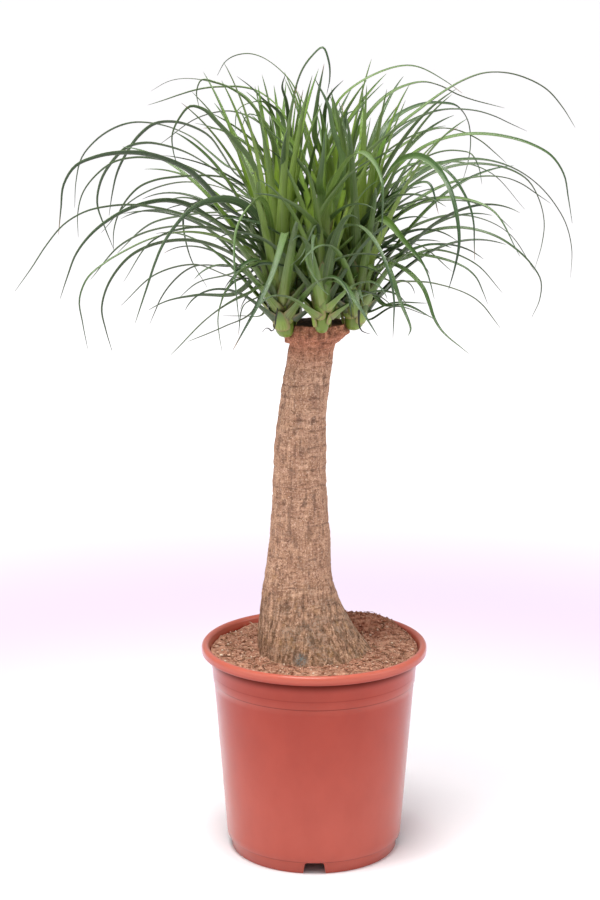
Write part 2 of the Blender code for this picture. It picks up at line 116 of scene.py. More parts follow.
def spline(rows, count, knots=None):
    """Rows on a smooth curve through the given rows, evenly spaced along their knots."""
    rows = np.asarray(rows, float)
    knots = np.arange(len(rows), dtype=float) if knots is None else np.asarray(knots, float)
    slopes = np.gradient(rows, knots, axis=0)
    at = np.linspace(knots[0], knots[-1], count)
    i = np.clip(np.searchsorted(knots, at, side="right") - 1, 0, len(rows) - 2)
    gap = (knots[i + 1] - knots[i])[:, None]
    t = ((at - knots[i])[:, None]) / gap
    ends = rows[i] * (1 + 2 * t) * (1 - t) ** 2 + rows[i + 1] * t * t * (3 - 2 * t)
    return ends + gap * (slopes[i] * t * (1 - t) ** 2 - slopes[i + 1] * t * t * (1 - t))


# ---------------------------------------------------------------- meshes

def piece(name, points, faces, material, replaces=(), vectors=None, sharp=40):
    """One closed mesh piece that rides on the root body."""
    data = bpy.data.meshes.new(name)
    data.from_pydata(np.asarray(points, float).tolist(), [], faces)
    for key, rows in (vectors or {}).items():
        layer = data.attributes.new(key, "FLOAT_VECTOR", "POINT")
        layer.data.foreach_set("vector", np.asarray(rows, np.float32).ravel())
    data.materials.append(material)
    data.shade_smooth()
    data.set_sharp_from_angle(angle=math.radians(sharp))
    made = bpy.data.objects.new(name, data)
    bpy.context.scene.collection.objects.link(made)
    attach(made, BODY)
    if replaces:
        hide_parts(*replaces)
    return made


def tube_faces(rings, count, start=0):
    """Quads that join rings of count points each."""
    faces = []
    for k in range(rings - 1):
        low = start + k * count
        for j in range(count):
            n = (j + 1) % count
            faces.append((low + j, low + n, low + count + n, low + count + j))
    return faces


def welded(name):
    """(points, neighbours) of a CAD node, with the points that share a place joined."""
    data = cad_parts[name].data
    places = {}
    index = []
    points = []
    for vertex in data.vertices:
        key = tuple(round(c, 6) for c in vertex.co)
        if key not in places:
            places[key] = len(points)
            points.append(np.array(vertex.co, float))
        index.append(places[key])
    near = [set() for _ in points]
    for edge in data.edges:
        a, b = index[edge.vertices[0]], index[edge.vertices[1]]
        if a != b:
            near[a].add(b)
            near[b].add(a)
    return np.array(points), near


def layers_from(start, near):
    """The points reached from start, one list for each number of steps."""
    seen, layers = {start}, [[start]]
    while True:
        found = sorted({b for a in layers[-1] for b in near[a]} - seen)
        if not found:
            return layers
        seen |= set(found)
        layers.append(found)


def leaf_stations(name):
    """(spine, half widths as vectors) of a CAD leaf, from the shoot to the tip."""
    points, near = welded(name)
    for start in range(len(points)):
        layers = layers_from(start, near)
        if len(layers) > 3 and all(len(layer) == 3 for layer in layers[1:]):
            break
    spine, sides = [points[start]], []
    for layer in layers[1:]:
        ring = points[layer]
        pairs = ((0, 1, 2), (1, 2, 0), (2, 0, 1))
        a, b, keel = max(pairs, key=lambda p: np.linalg.norm(ring[p[0]] - ring[p[1]]))
        half = (ring[b] - ring[a]) / 2
        if sides and np.dot(half, sides[-1]) < 0:
            half = -half
        spine.append((ring[a] + ring[b]) / 2)
        sides.append(half)
    below = ring[keel] - spine[-1]
    sides.insert(0, sides[0] * 0.05)
    spine, sides = np.array(spine[::-1]), np.array(sides[::-1])
    if np.dot(np.cross(spine[1] - spine[0], sides[0]), below) > 0:
        sides = -sides
    return spine, sides


ACROSS = np.array((-1.0, -0.55, 0.0, 0.55, 1.0))


class Foliage:
    """Blades gathered into one mesh: each is a closed, channelled strap with a thread tip."""

    def __init__(self):
        self.points, self.faces, self.blade, self.tone = [], [], [], []
        self.count = 0

    def add(self, spine, side, half, channel, thick, tone, twist=None):
        """Spine, side and up run from the root to the tip. Half is the half width."""
        stations = len(spine)
        along = unit(np.gradient(spine, axis=0))
        side = unit(side - along * (side * along).sum(1, keepdims=True))
        up = np.cross(along, side)
        if twist is not None:
            turn = twist[:, None]
            side, up = side * np.cos(turn) + up * np.sin(turn), up * np.cos(turn) - side * np.sin(turn)
        u = ACROSS[None, :, None]
        half = half[:, None, None]
        top = spine[:, None, :] + side[:, None, :] * half * u
        top = top + up[:, None, :] * half * np.asarray(channel).reshape(-1, 1, 1) * (u * u - 0.3)
        low = top - up[:, None, :] * thick * (1 - 0.7 * u * u) * np.minimum(1, half / (0.8 * MM))
        rings = np.concatenate([top, low[:, ::-1]], axis=1)
        count, base = 10, self.count
        self.points += list(rings.reshape(-1, 3)) + [spine[-1] + along[-1] * 1.5 * MM]
        for k in range(stations - 1):
            a = base + k * count
            for j in range(count):
                n = (j + 1) % count
                self.faces.append((a + j, a + count + j, a + count + n, a + n))
        for j in range(4):
            self.faces.append((base + j, base + j + 1, base + 8 - j, base + 9 - j))
        last, tip = base + (stations - 1) * count, base + stations * count
        for j in range(count):
            self.faces.append((last + j, tip, last + (j + 1) % count))
        self.count += stations * count + 1
        share = np.linspace(0, 1, stations)
        across = np.concatenate([ACROSS, ACROSS[::-1]])
        under = np.concatenate([np.zeros(5), np.ones(5)])
        chance, bright, dry = tone
        for s in share:
            for v, w in zip(across, under):
                self.blade.append((v, s, chance))
                self.tone.append((w, bright, dry))
        self.blade.append((0, 1, chance))
        self.tone.append((0, bright, dry))

    def add_core(self, rings, chance):
        """A closed body through rings of points, such as the heart of a shoot."""
        count, base = len(rings[0]), self.count
        self.points += [point for ring in rings for point in ring]
        self.faces += tube_faces(len(rings), count, base)
        self.faces.append(tuple(base + j for j in reversed(range(count))))
        last = base + (len(rings) - 1) * count
        self.faces.append(tuple(last + j for j in range(count)))
        self.count += len(rings) * count
        for k in range(len(rings)):
            for j in range(count):
                self.blade.append((0.5, 0.16, chance))
                self.tone.append((0, 0.3, 0))

    def make(self, name, material, replaces):
        rows = {"blade": self.blade, "tone": self.tone}
        return piece(name, self.points, self.faces, material, replaces, rows, 50)


# ---------------------------------------------------------------- materials

class Finish:
    """A material with one Principled shader, and short calls that add nodes to it."""

    def __init__(self, name, roughness, **inputs):
        self.material = bpy.data.materials.new(name)
        self.material.use_nodes = True
        self.tree = self.material.node_tree
        self.shader = self.tree.nodes["Principled BSDF"]
        self.shader.inputs["Roughness"].default_value = roughness
        for key, value in inputs.items():
            self.shader.inputs[key.replace("_", " ")].default_value = value
        self.place = self.add("TexCoord", "Object")

    def add(self, kind, out=0, settings=None, **inputs):
        made = self.tree.nodes.new("ShaderNode" + kind)
        for key, value in (settings or {}).items():
            setattr(made, key, value)
        for key, value in inputs.items():
            key = int(key[1:]) if key[0] == "i" and key[1:].isdigit() else key.replace("_", " ")
            self.feed(made.inputs[key], value)
        return made.outputs[out]

    def feed(self, socket, value):
        if isinstance(value, bpy.types.NodeSocket):
            self.tree.links.new(value, socket)
        else:
            socket.default_value = value

    def set(self, name, value):
        self.feed(self.shader.inputs[name], value)

    def named(self, name):
        """(x, y, z) sockets of a vector stored on the mesh."""
        vector = self.add("Attribute", "Vector", {"attribute_name": name})
        split = self.tree.nodes.new("ShaderNodeSeparateXYZ")
        self.tree.links.new(vector, split.inputs[0])
        return split.outputs[0], split.outputs[1], split.outputs[2]

    def stretched(self, x, y, z, source=None):
        scaled = {"operation": "MULTIPLY"}
        return self.add("VectorMath", 0, scaled, i0=source or self.place, i1=(x, y, z))

    def noise(self, vector, scale=1.0, detail=3.0, roughness=0.55, distortion=0.0):
        return self.add(
            "TexNoise", 0, Vector=vector, Scale=scale, Detail=detail,
            Roughness=roughness, Distortion=distortion,
        )

    def math(self, operation, a, b=0.0, clamp=False):
        return self.add("Math", 0, {"operation": operation, "use_clamp": clamp}, i0=a, i1=b)

    def span(self, value, low, high, to_low=0.0, to_high=1.0):
        return self.add(
            "MapRange", 0, {"interpolation_type": "SMOOTHSTEP"}, Value=value,
            i1=low, i2=high, i3=to_low, i4=to_high,
        )

    def ramp(self, value, *stops):
        made = self.tree.nodes.new("ShaderNodeValToRGB")
        self.feed(made.inputs[0], value)
        row = made.color_ramp.elements
        while len(row) < len(stops):
            row.new(0.5)
        for element, (position, colour) in zip(row, stops):
            element.position = position
            element.color = (*colour, 1.0)
        return made.outputs[0]

    def mix(self, share, a, b, blend="MIX"):
        made = self.tree.nodes.new("ShaderNodeMix")
        made.data_type = "RGBA"
        made.blend_type = blend
        for socket, value in ((0, share), (6, a), (7, b)):
            if isinstance(value, tuple):
                value = (*value, 1.0)
            self.feed(made.inputs[socket], value)
        return made.outputs[2]

    def bump(self, height, distance, strength=1.0, under=None):
        extra = {"Normal": under} if under else {}
        made = self.add("Bump", 0, Height=height, Distance=distance, Strength=strength, **extra)
        self.set("Normal", made)
        return made


def leaf_finish(name, pale):
    """Green strap leaves: pale sheath, mid green blade, slate green tip, fine veins, and a painted sheen on faces that
    point up.
    """
    green = Finish(name, 0.35, Specular_IOR_Level=0.42)
    across, along, chance = green.named("blade")
    under, bright, dry = green.named("tone")
    colour = green.ramp(
        along,
        (0.0, (0.130, 0.095, 0.035)),
        (0.035, (0.230, 0.290, 0.060)),
        (0.10, (0.170, 0.270, 0.034)),
        (0.25, (0.108, 0.218, 0.025)),
        (0.60, (0.046, 0.108, 0.021)),
        (1.0, (0.042, 0.074, 0.052)),
    )
    young = green.ramp(along, (0.0, (0.20, 0.16, 0.05)), (0.04, (0.42, 0.50, 0.08)), (0.45, (0.36, 0.52, 0.045)), (1.0, (0.10, 0.21, 0.03)))
    colour = green.mix(green.math("MULTIPLY", bright, 0.90), colour, young)
    cool = green.span(chance, 0.30, 0.85, 0.0, 0.88)
    cool = green.math("MULTIPLY", cool, green.math("SUBTRACT", 1.0, bright))
    colour = green.mix(cool, colour, (0.018, 0.050, 0.022))
    seat = green.add("CombineXYZ", 0, X=across, Y=along, Z=chance)
    veins = green.noise(green.stretched(9.0, 2.2, 40.0, seat), 1.0, 2.0)
    colour = green.mix(green.span(veins, 0.3, 0.7, 0.0, 0.42), colour, green.mix(1.0, colour, (1.55, 1.5, 1.35), "MULTIPLY"))
    blotch = green.noise(green.stretched(1.0, 1.0, 1.0), 55.0, 3.0)
    colour = green.mix(green.span(blotch, 0.35, 0.75, 0.0, 0.35), colour, green.mix(1.0, colour, (0.62, 0.66, 0.72), "MULTIPLY"))
    middle = green.math("ABSOLUTE", across)
    own = green.math("FRACT", green.math("MULTIPLY", chance, 7.3))
    own = green.math("MULTIPLY", green.math("MULTIPLY", own, 0.70), green.math("SUBTRACT", 1.0, bright))
    colour = green.mix(own, colour, (0.42, 0.46, 0.48), "MULTIPLY")
    keel = green.math("MULTIPLY", green.span(middle, 0.0, 0.16, 0.5, 0.0), green.span(along, 0.02, 0.6, 1.0, 0.1))
    colour = green.mix(keel, colour, (0.26, 0.34, 0.12))
    edge = green.span(middle, 0.86, 1.0, 0.0, 0.35)
    colour = green.mix(edge, colour, (0.22, 0.27, 0.10))
    # Painted sheen: faces that point up are lightened in streaks, standing in for the highlight from above.
    facing = green.tree.nodes.new("ShaderNodeSeparateXYZ")
    green.tree.links.new(green.add("NewGeometry", "Normal"), facing.inputs[0])
    painted_sheen = green.math("MULTIPLY", green.span(facing.outputs[2], 0.50, 0.95, 0.0, 0.34), green.span(veins, 0.3, 0.7, 0.5, 1.0))
    colour = green.mix(painted_sheen, colour, (0.330, 0.410, 0.250))
    hem = green.math("MULTIPLY", green.span(middle, 0.72, 0.95), green.span(along, 0.03, 0.14, 0.65, 0.0))
    scale = green.span(green.math("ABSOLUTE", green.math("SUBTRACT", dry, 0.5)), 0.1, 0.2, 1.0, 0.0)
    margin = green.math("MAXIMUM", green.span(middle, 0.50, 0.92, 0.0, 0.8), green.span(along, 0.0, 0.16, 0.8, 0.0))
    hem = green.math("MAXIMUM", hem, green.math("MULTIPLY", scale, margin))
    colour = green.mix(hem, colour, (0.270, 0.185, 0.062))
    colour = green.mix(green.math("MULTIPLY", under, 0.22), colour, (0.135, 0.185, 0.095))
    brown = green.math("MULTIPLY", dry, green.span(along, 0.93, 1.0, 0.0, 1.0))
    colour = green.mix(brown, colour, (0.20, 0.125, 0.055))
    green.set("Base Color", colour)
    green.set("Roughness", green.span(veins, 0.2, 0.8, 0.24, 0.38))
    fine = green.noise(green.stretched(26.0, 3.0, 40.0, seat), 1.0, 1.0)
    green.bump(green.math("ADD", fine, green.math("MULTIPLY", veins, 1.5)), 0.00025, 0.6)
    return green.material


def dried_finish():
    dry = Finish("dried_leaf_fibre", 0.8)
    across, along, chance = dry.named("blade")
    seat = dry.add("CombineXYZ", 0, X=across, Y=along, Z=chance)
    fibre = dry.noise(dry.stretched(7.0, 2.0, 9.0, seat), 1.0, 3.0)
    dry.set("Base Color", dry.ramp(fibre, (0.3, (0.020, 0.024, 0.022)), (0.7, (0.075, 0.070, 0.050))))
    dry.bump(fibre, 0.0003)
    return dry.material


def bark_finish():
    """Corky tan bark with dark crack lines, painted shade in the mesh's fissures, cracks and pits, pale flecks, grey
    scale low down, redder at the top.
    """
    bark = Finish("bark_cork", 0.86, Specular_IOR_Level=0.25)
    cavity_shade, cut, patch = bark.named("bark")
    height = bark.tree.nodes.new("ShaderNodeSeparateXYZ")
    bark.tree.links.new(bark.place, height.inputs[0])
    height = height.outputs[2]
    streak = bark.noise(bark.stretched(330.0, 330.0, 60.0), 1.0, 4.0, 0.6)
    mottle = bark.noise(bark.stretched(1.0, 1.0, 1.4), 75.0, 4.0, 0.6)
    grain = bark.noise(bark.stretched(1.0, 1.0, 1.0), 620.0, 3.0, 0.65)
    colour = bark.ramp(
        streak,
        (0.25, (0.220, 0.112, 0.066)),
        (0.45, (0.395, 0.222, 0.132)),
        (0.60, (0.530, 0.318, 0.196)),
        (0.80, (0.700, 0.455, 0.300)),
    )
    colour = bark.mix(bark.span(mottle, 0.30, 0.66, 0.45, 0.0), colour, (0.330, 0.180, 0.122))
    speck = bark.span(grain, 0.55, 0.66, 0.0, 0.65)
    colour = bark.mix(speck, colour, (0.820, 0.600, 0.455))
    fleck = bark.span(grain, 0.33, 0.45, 0.90, 0.0)
    colour = bark.mix(fleck, colour, (0.120, 0.058, 0.038))
    split = bark.noise(bark.stretched(110.0, 110.0, 430.0), 1.0, 4.0, 0.65, 1.0)
    colour = bark.mix(bark.span(split, 0.30, 0.41, 0.75, 0.0), colour, (0.100, 0.050, 0.034))
    band = bark.noise(bark.stretched(70.0, 70.0, 270.0), 1.0, 5.0, 0.72, 0.9)
    colour = bark.mix(bark.span(band, 0.32, 0.47, 0.42, 0.0), colour, bark.mix(1.0, colour, (0.50, 0.45, 0.42), "MULTIPLY"))
    colour = bark.mix(bark.span(band, 0.50, 0.66, 0.0, 0.42), colour, (0.780, 0.515, 0.350))
    dots = bark.add("TexVoronoi", 0, Vector=bark.place, Scale=300.0, Randomness=0.9)
    dots = bark.math("MULTIPLY", bark.span(dots, 0.12, 0.24, 0.6, 0.0), bark.span(mottle, 0.40, 0.58))
    colour = bark.mix(dots, colour, (0.850, 0.640, 0.500))
    # Painted shade: darker where the mesh is pushed in (fissures, cracks, pits) and a little over the cut top.
    colour = bark.mix(bark.math("MULTIPLY", cavity_shade, 0.75, True), colour, (0.105, 0.055, 0.038))
    red = bark.math("MULTIPLY", bark.span(height, 0.515, 0.558), 0.70)
    colour = bark.mix(red, colour, bark.mix(1.0, colour, (0.80, 0.46, 0.34), "MULTIPLY"))
    grey = bark.math("MULTIPLY", patch, bark.span(grain, 0.44, 0.58, 0.0, 0.60))
    colour = bark.mix(grey, colour, (0.270, 0.225, 0.180))
    low = bark.math("MULTIPLY", bark.span(height, 0.235, 0.330, 1.0, 0.0), bark.span(streak, 0.38, 0.60, 0.95, 0.15))
    colour = bark.mix(low, colour, bark.mix(1.0, colour, (0.52, 0.50, 0.44), "MULTIPLY"))
    gold = bark.noise(bark.stretched(1.0, 1.0, 0.8), 130.0, 2.0)
    gold = bark.math("MULTIPLY", bark.span(gold, 0.56, 0.74, 0.0, 0.28), bark.span(height, 0.40, 0.24))
    colour = bark.mix(gold, colour, (0.480, 0.270, 0.095))
    spot = bark.add("VectorMath", "Value", {"operation": "DISTANCE"}, i0=bark.place, i1=(-0.015, -0.063, 0.226))
    teal = bark.math("MULTIPLY", bark.span(spot, 0.004, 0.013, 1.0, 0.0), bark.span(grain, 0.38, 0.60))
    colour = bark.mix(teal, colour, (0.150, 0.235, 0.245))
    wood = bark.noise(bark.stretched(1.0, 1.0, 1.0), 260.0, 3.0)
    colour = bark.mix(cut, colour, bark.ramp(wood, (0.3, (0.030, 0.018, 0.013)), (0.75, (0.150, 0.070, 0.040))))
    bark.set("Base Color", colour)
    rough = bark.add("Math", 0, {"operation": "ADD"}, i0=bark.math("MULTIPLY", grain, 1.1), i1=streak)
    bark.bump(rough, 0.0011, 0.75)
    return bark.material


HEAP_PLACE = (0.060, 0.076, 0.226)


def soil_finish():
    soil = Finish("peat_crumb", 0.95, Specular_IOR_Level=0.2)
    chance, light, _ = soil.named("crumb")
    fine = soil.noise(soil.place, 900.0, 4.0, 0.7)
    broad = soil.noise(soil.place, 190.0, 3.0)
    colour = soil.ramp(
        broad,
        (0.25, (0.190, 0.078, 0.046)),
        (0.45, (0.380, 0.180, 0.112)),
        (0.60, (0.520, 0.275, 0.180)),
        (0.78, (0.680, 0.410, 0.290)),
    )
    colour = soil.mix(soil.span(fine, 0.3, 0.5, 0.60, 0.0), colour, (0.150, 0.070, 0.045))
    colour = soil.mix(soil.span(fine, 0.56, 0.68, 0.0, 0.60), colour, (0.740, 0.520, 0.400))
    own = soil.ramp(
        chance,
        (0.0, (0.200, 0.082, 0.048)),
        (0.25, (0.340, 0.155, 0.094)),
        (0.50, (0.450, 0.225, 0.142)),
        (0.75, (0.580, 0.345, 0.240)),
        (1.0, (0.760, 0.530, 0.400)),
    )
    colour = soil.mix(light, colour, own)
    colour = soil.mix(soil.span(chance, 0.945, 0.960), colour, (0.780, 0.640, 0.500))
    away = soil.add("VectorMath", "Value", {"operation": "DISTANCE"}, i0=soil.place, i1=HEAP_PLACE)
    peat = soil.math("MULTIPLY", soil.span(away, 0.030, 0.062, 0.75, 0.0), soil.span(broad, 0.30, 0.55, 1.0, 0.5))
    colour = soil.mix(peat, colour, soil.mix(1.0, colour, (0.50, 0.20, 0.14), "MULTIPLY"))
    soil.set("Base Color", colour)
    soil.bump(fine, 0.0010, 0.8)
    return soil.material


def fibre_finish():
    fibre = Finish("soil_fibre", 0.85, Specular_IOR_Level=0.25)
    chance, _, _ = fibre.named("crumb")
    grain = fibre.noise(fibre.place, 700.0, 2.0)
    colour = fibre.ramp(
        chance,
        (0.0, (0.060, 0.028, 0.018)),
        (0.4, (0.260, 0.120, 0.060)),
        (0.7, (0.420, 0.250, 0.140)),
        (1.0, (0.620, 0.450, 0.310)),
    )
    fibre.set("Base Color", fibre.mix(fibre.span(grain, 0.3, 0.7, 0.5, 0.0), colour, (0.10, 0.05, 0.03)))
    fibre.bump(grain, 0.0003)
    return fibre.material


def pot_finish():
    """Satin terracotta plastic with painted light: paler low down (painted bounce light), painted shade in the recess
    and along its steps, and a painted highlight on the lip.
    """
    pot = Finish("satin_terracotta_plastic", 0.3, Coat_Roughness=0.18, Coat_IOR=1.28)
    height = pot.tree.nodes.new("ShaderNodeSeparateXYZ")
    pot.tree.links.new(pot.place, height.inputs[0])
    height = height.outputs[2]
    cloud = pot.noise(pot.stretched(1.0, 1.0, 0.6), 28.0, 3.0)
    ring = pot.noise(pot.stretched(6.0, 6.0, 900.0), 1.0, 2.0)
    scuff = pot.noise(pot.stretched(60.0, 60.0, 420.0), 1.0, 4.0, 0.65, 0.6)
    grain = pot.noise(pot.place, 2600.0, 2.0)
    # Painted light: paler low down and deeper high up, standing in for light bounced up from the floor.
    high = pot.ramp(cloud, (0.3, (0.340, 0.040, 0.020)), (0.7, (0.385, 0.050, 0.026)))
    low = pot.ramp(cloud, (0.3, (0.385, 0.064, 0.040)), (0.7, (0.430, 0.078, 0.050)))
    colour = pot.mix(pot.span(height, 0.02, 0.19), low, high)
    colour = pot.mix(pot.span(scuff, 0.66, 0.80, 0.0, 0.10), colour, (0.620, 0.200, 0.150))
    # Painted shade: the wall just under the lip, thin lines at the band's lower and upper edges (0.1866, 0.1957) and
    # the foot step (0.0138) are darkened.
    recess = pot.math("MULTIPLY", pot.span(height, 0.2035, 0.2150), pot.span(height, 0.2166, 0.2176, 1.0, 0.0))
    dark = pot.math("MULTIPLY", recess, 0.90)
    for level, share in ((0.1866, 0.55), (0.1957, 0.22), (0.0138, 0.60)):
        gap = pot.math("ABSOLUTE", pot.math("SUBTRACT", height, level))
        dark = pot.math("MAXIMUM", dark, pot.span(gap, 0.0002, 0.0009, share, 0.0))
    colour = pot.mix(dark, colour, (0.075, 0.008, 0.005))
    # Painted highlight: from the lip's lower edge up, the pot is painted lighter than its wall.
    colour = pot.mix(pot.span(height, 0.2172, 0.2215, 0.0, 0.65), colour, (0.560, 0.145, 0.095))
    dust = pot.noise(pot.place, 240.0, 4.0, 0.65)
    dust = pot.math("MULTIPLY", pot.span(dust, 0.52, 0.72, 0.0, 0.35), pot.span(height, 0.2235, 0.2262))
    colour = pot.mix(dust, colour, (0.330, 0.180, 0.120))
    pot.set("Base Color", colour)
    # Coat and specular are turned down under the painted shade, so it stays dark.
    pot.set("Coat Weight", pot.math("SUBTRACT", 0.80, pot.math("MULTIPLY", dark, 0.80)))
    pot.set("Specular IOR Level", pot.math("SUBTRACT", 0.20, pot.math("MULTIPLY", dark, 0.20)))
    pot.set("Roughness", pot.math("ADD", pot.span(cloud, 0.3, 0.7, 0.27, 0.36), pot.math("MULTIPLY", ring, 0.03)))
    pot.bump(pot.math("ADD", pot.math("MULTIPLY", grain, 0.6), ring), 0.00005, 0.6)
    return pot.material


# ---------------------------------------------------------------- pot

POT_TURNS = 288


def arc(middle, radius, start, end, steps):
    """Points on a circle in the (radius, height) half plane, angles in degrees."""
    found = []
    for k in range(steps + 1):
        turn = math.radians(start + (end - start) * k / steps)
        found.append((middle[0] + radius * math.cos(turn), middle[1] + radius * math.sin(turn)))
    return found


def pot_profile():
    """(radius, height) from under the floor, over the lip and down inside the pot."""
    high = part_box("pot")[1].z
    foot = [(0.0838, 0.0135), (0.0838, 0.0008), (0.0844, 0.0), (0.0887, 0.0), (0.0893, 0.0008)]
    step = [(0.0904, 0.0122), (0.0907, 0.0130), (0.0914, 0.0134), (0.0932, 0.0136), (0.0940, 0.0146)]
    wall = [(0.0940 + 0.0130 * k / 24, 0.0146 + 0.1712 * k / 24) for k in range(1, 25)]
    band = [(0.1074, 0.1863), (0.1078, 0.1870), (0.1086, 0.1960)]
    flare = [(0.1091, 0.2010), (0.1097, 0.2055), (0.1104, 0.2095), (0.1112, 0.2125), (0.1118, 0.2150)]
    recess = [(0.1124, 0.2180), (0.1134, 0.2198), (0.1148, 0.2206), (0.1164, 0.2205), (0.1176, 0.2194)]
    lip = [(0.1180, 0.2180), (0.1186, 0.2172), (0.1192, 0.2171), (0.1197, 0.2178), (0.1200, 0.2195)]
    crown = arc((0.116, high - 0.004), 0.004, 0, 180, 16)
    mouth = [(0.1116, 0.2205), (0.1110, 0.2171), (0.1092, 0.2100), (0.1073, 0.2026), (0.1056, 0.1960)]
    inner = [(0.1056 - 0.0137 * k / 12, 0.1960 - 0.1795 * k / 12) for k in range(1, 13)]
    return foot + step + wall + band + flare + recess + lip + crown + mouth + inner


def cutter(name, rings):
    data = bpy.data.meshes.new(name)
    mesh = bmesh.new()
    loops = [[mesh.verts.new(point) for point in ring] for ring in rings]
    for j in range(len(loops[0])):
        n = (j + 1) % len(loops[0])
        mesh.faces.new((loops[0][j], loops[0][n], loops[1][n], loops[1][j]))
    mesh.faces.new(loops[0])
    mesh.faces.new(loops[1])
    bmesh.ops.recalc_face_normals(mesh, faces=mesh.faces[:])
    mesh.to_mesh(data)
    mesh.free()
    made = bpy.data.objects.new(name, data)
    bpy.context.scene.collection.objects.link(made)
    return made


def slot_cutter(turn):
    outward = Vector((math.cos(turn), math.sin(turn), 0))
    side = Vector((-math.sin(turn), math.cos(turn), 0))
    corners = ((-12.0, -1.2), (12.0, -1.2), (10.2, 10.6), (8.4, 12.2), (-8.4, 12.2), (-10.2, 10.6))
    rings = []
    for reach in (0.0720, 0.1000):
        rings.append([outward * reach + side * x * MM + Vector((0, 0, z * MM)) for x, z in corners])
    return cutter("slot_cutter", rings)


def drain_cutter(turn):
    middle = Vector((0.058 * math.cos(turn), 0.058 * math.sin(turn), 0))
    rings = []
    for z in (0.010, 0.020):
        ring = []
        for k in range(32):
            a = 2 * math.pi * k / 32
            ring.append(middle + Vector((0.005 * math.cos(a), 0.005 * math.sin(a), z)))
        rings.append(ring)
    return cutter("drain_cutter", rings)


def make_pot():
    profile = pot_profile()
    turns = [2 * math.pi * k / POT_TURNS for k in range(POT_TURNS)]
    points = [(r * math.cos(a), r * math.sin(a), z) for r, z in profile for a in turns]
    faces = tube_faces(len(profile), POT_TURNS)
    last = (len(profile) - 1) * POT_TURNS
    faces.append(tuple(reversed(range(POT_TURNS))))
    faces.append(tuple(range(last, last + POT_TURNS)))
    made = piece("pot_shell", points, faces, pot_finish(), ("pot",))
    cutters = [slot_cutter(math.pi * k / 2 - math.pi / 2) for k in range(4)]
    cutters += [drain_cutter(math.pi * (k + 0.5) / 4) for k in range(8)]
    for each in cutters:
        boolean = made.modifiers.new("cut", "BOOLEAN")
        boolean.operation = "DIFFERENCE"
        boolean.solver = "EXACT"
        boolean.object = each
    applied(made)
    for each in cutters:
        bpy.data.objects.remove(each, do_unlink=True)
    made.data.set_sharp_from_angle(angle=math.radians(40))
    return made


def applied(made):
    """Bakes the object's modifiers into its mesh."""
    graph = bpy.context.evaluated_depsgraph_get()
    data = bpy.data.meshes.new_from_object(made.evaluated_get(graph))
    made.modifiers.clear()
    made.data = data


# ---------------------------------------------------------------- trunk

TRUNK_LOW = 0.195
TRUNK_TURNS = 224
TRUNK_RINGS = 400


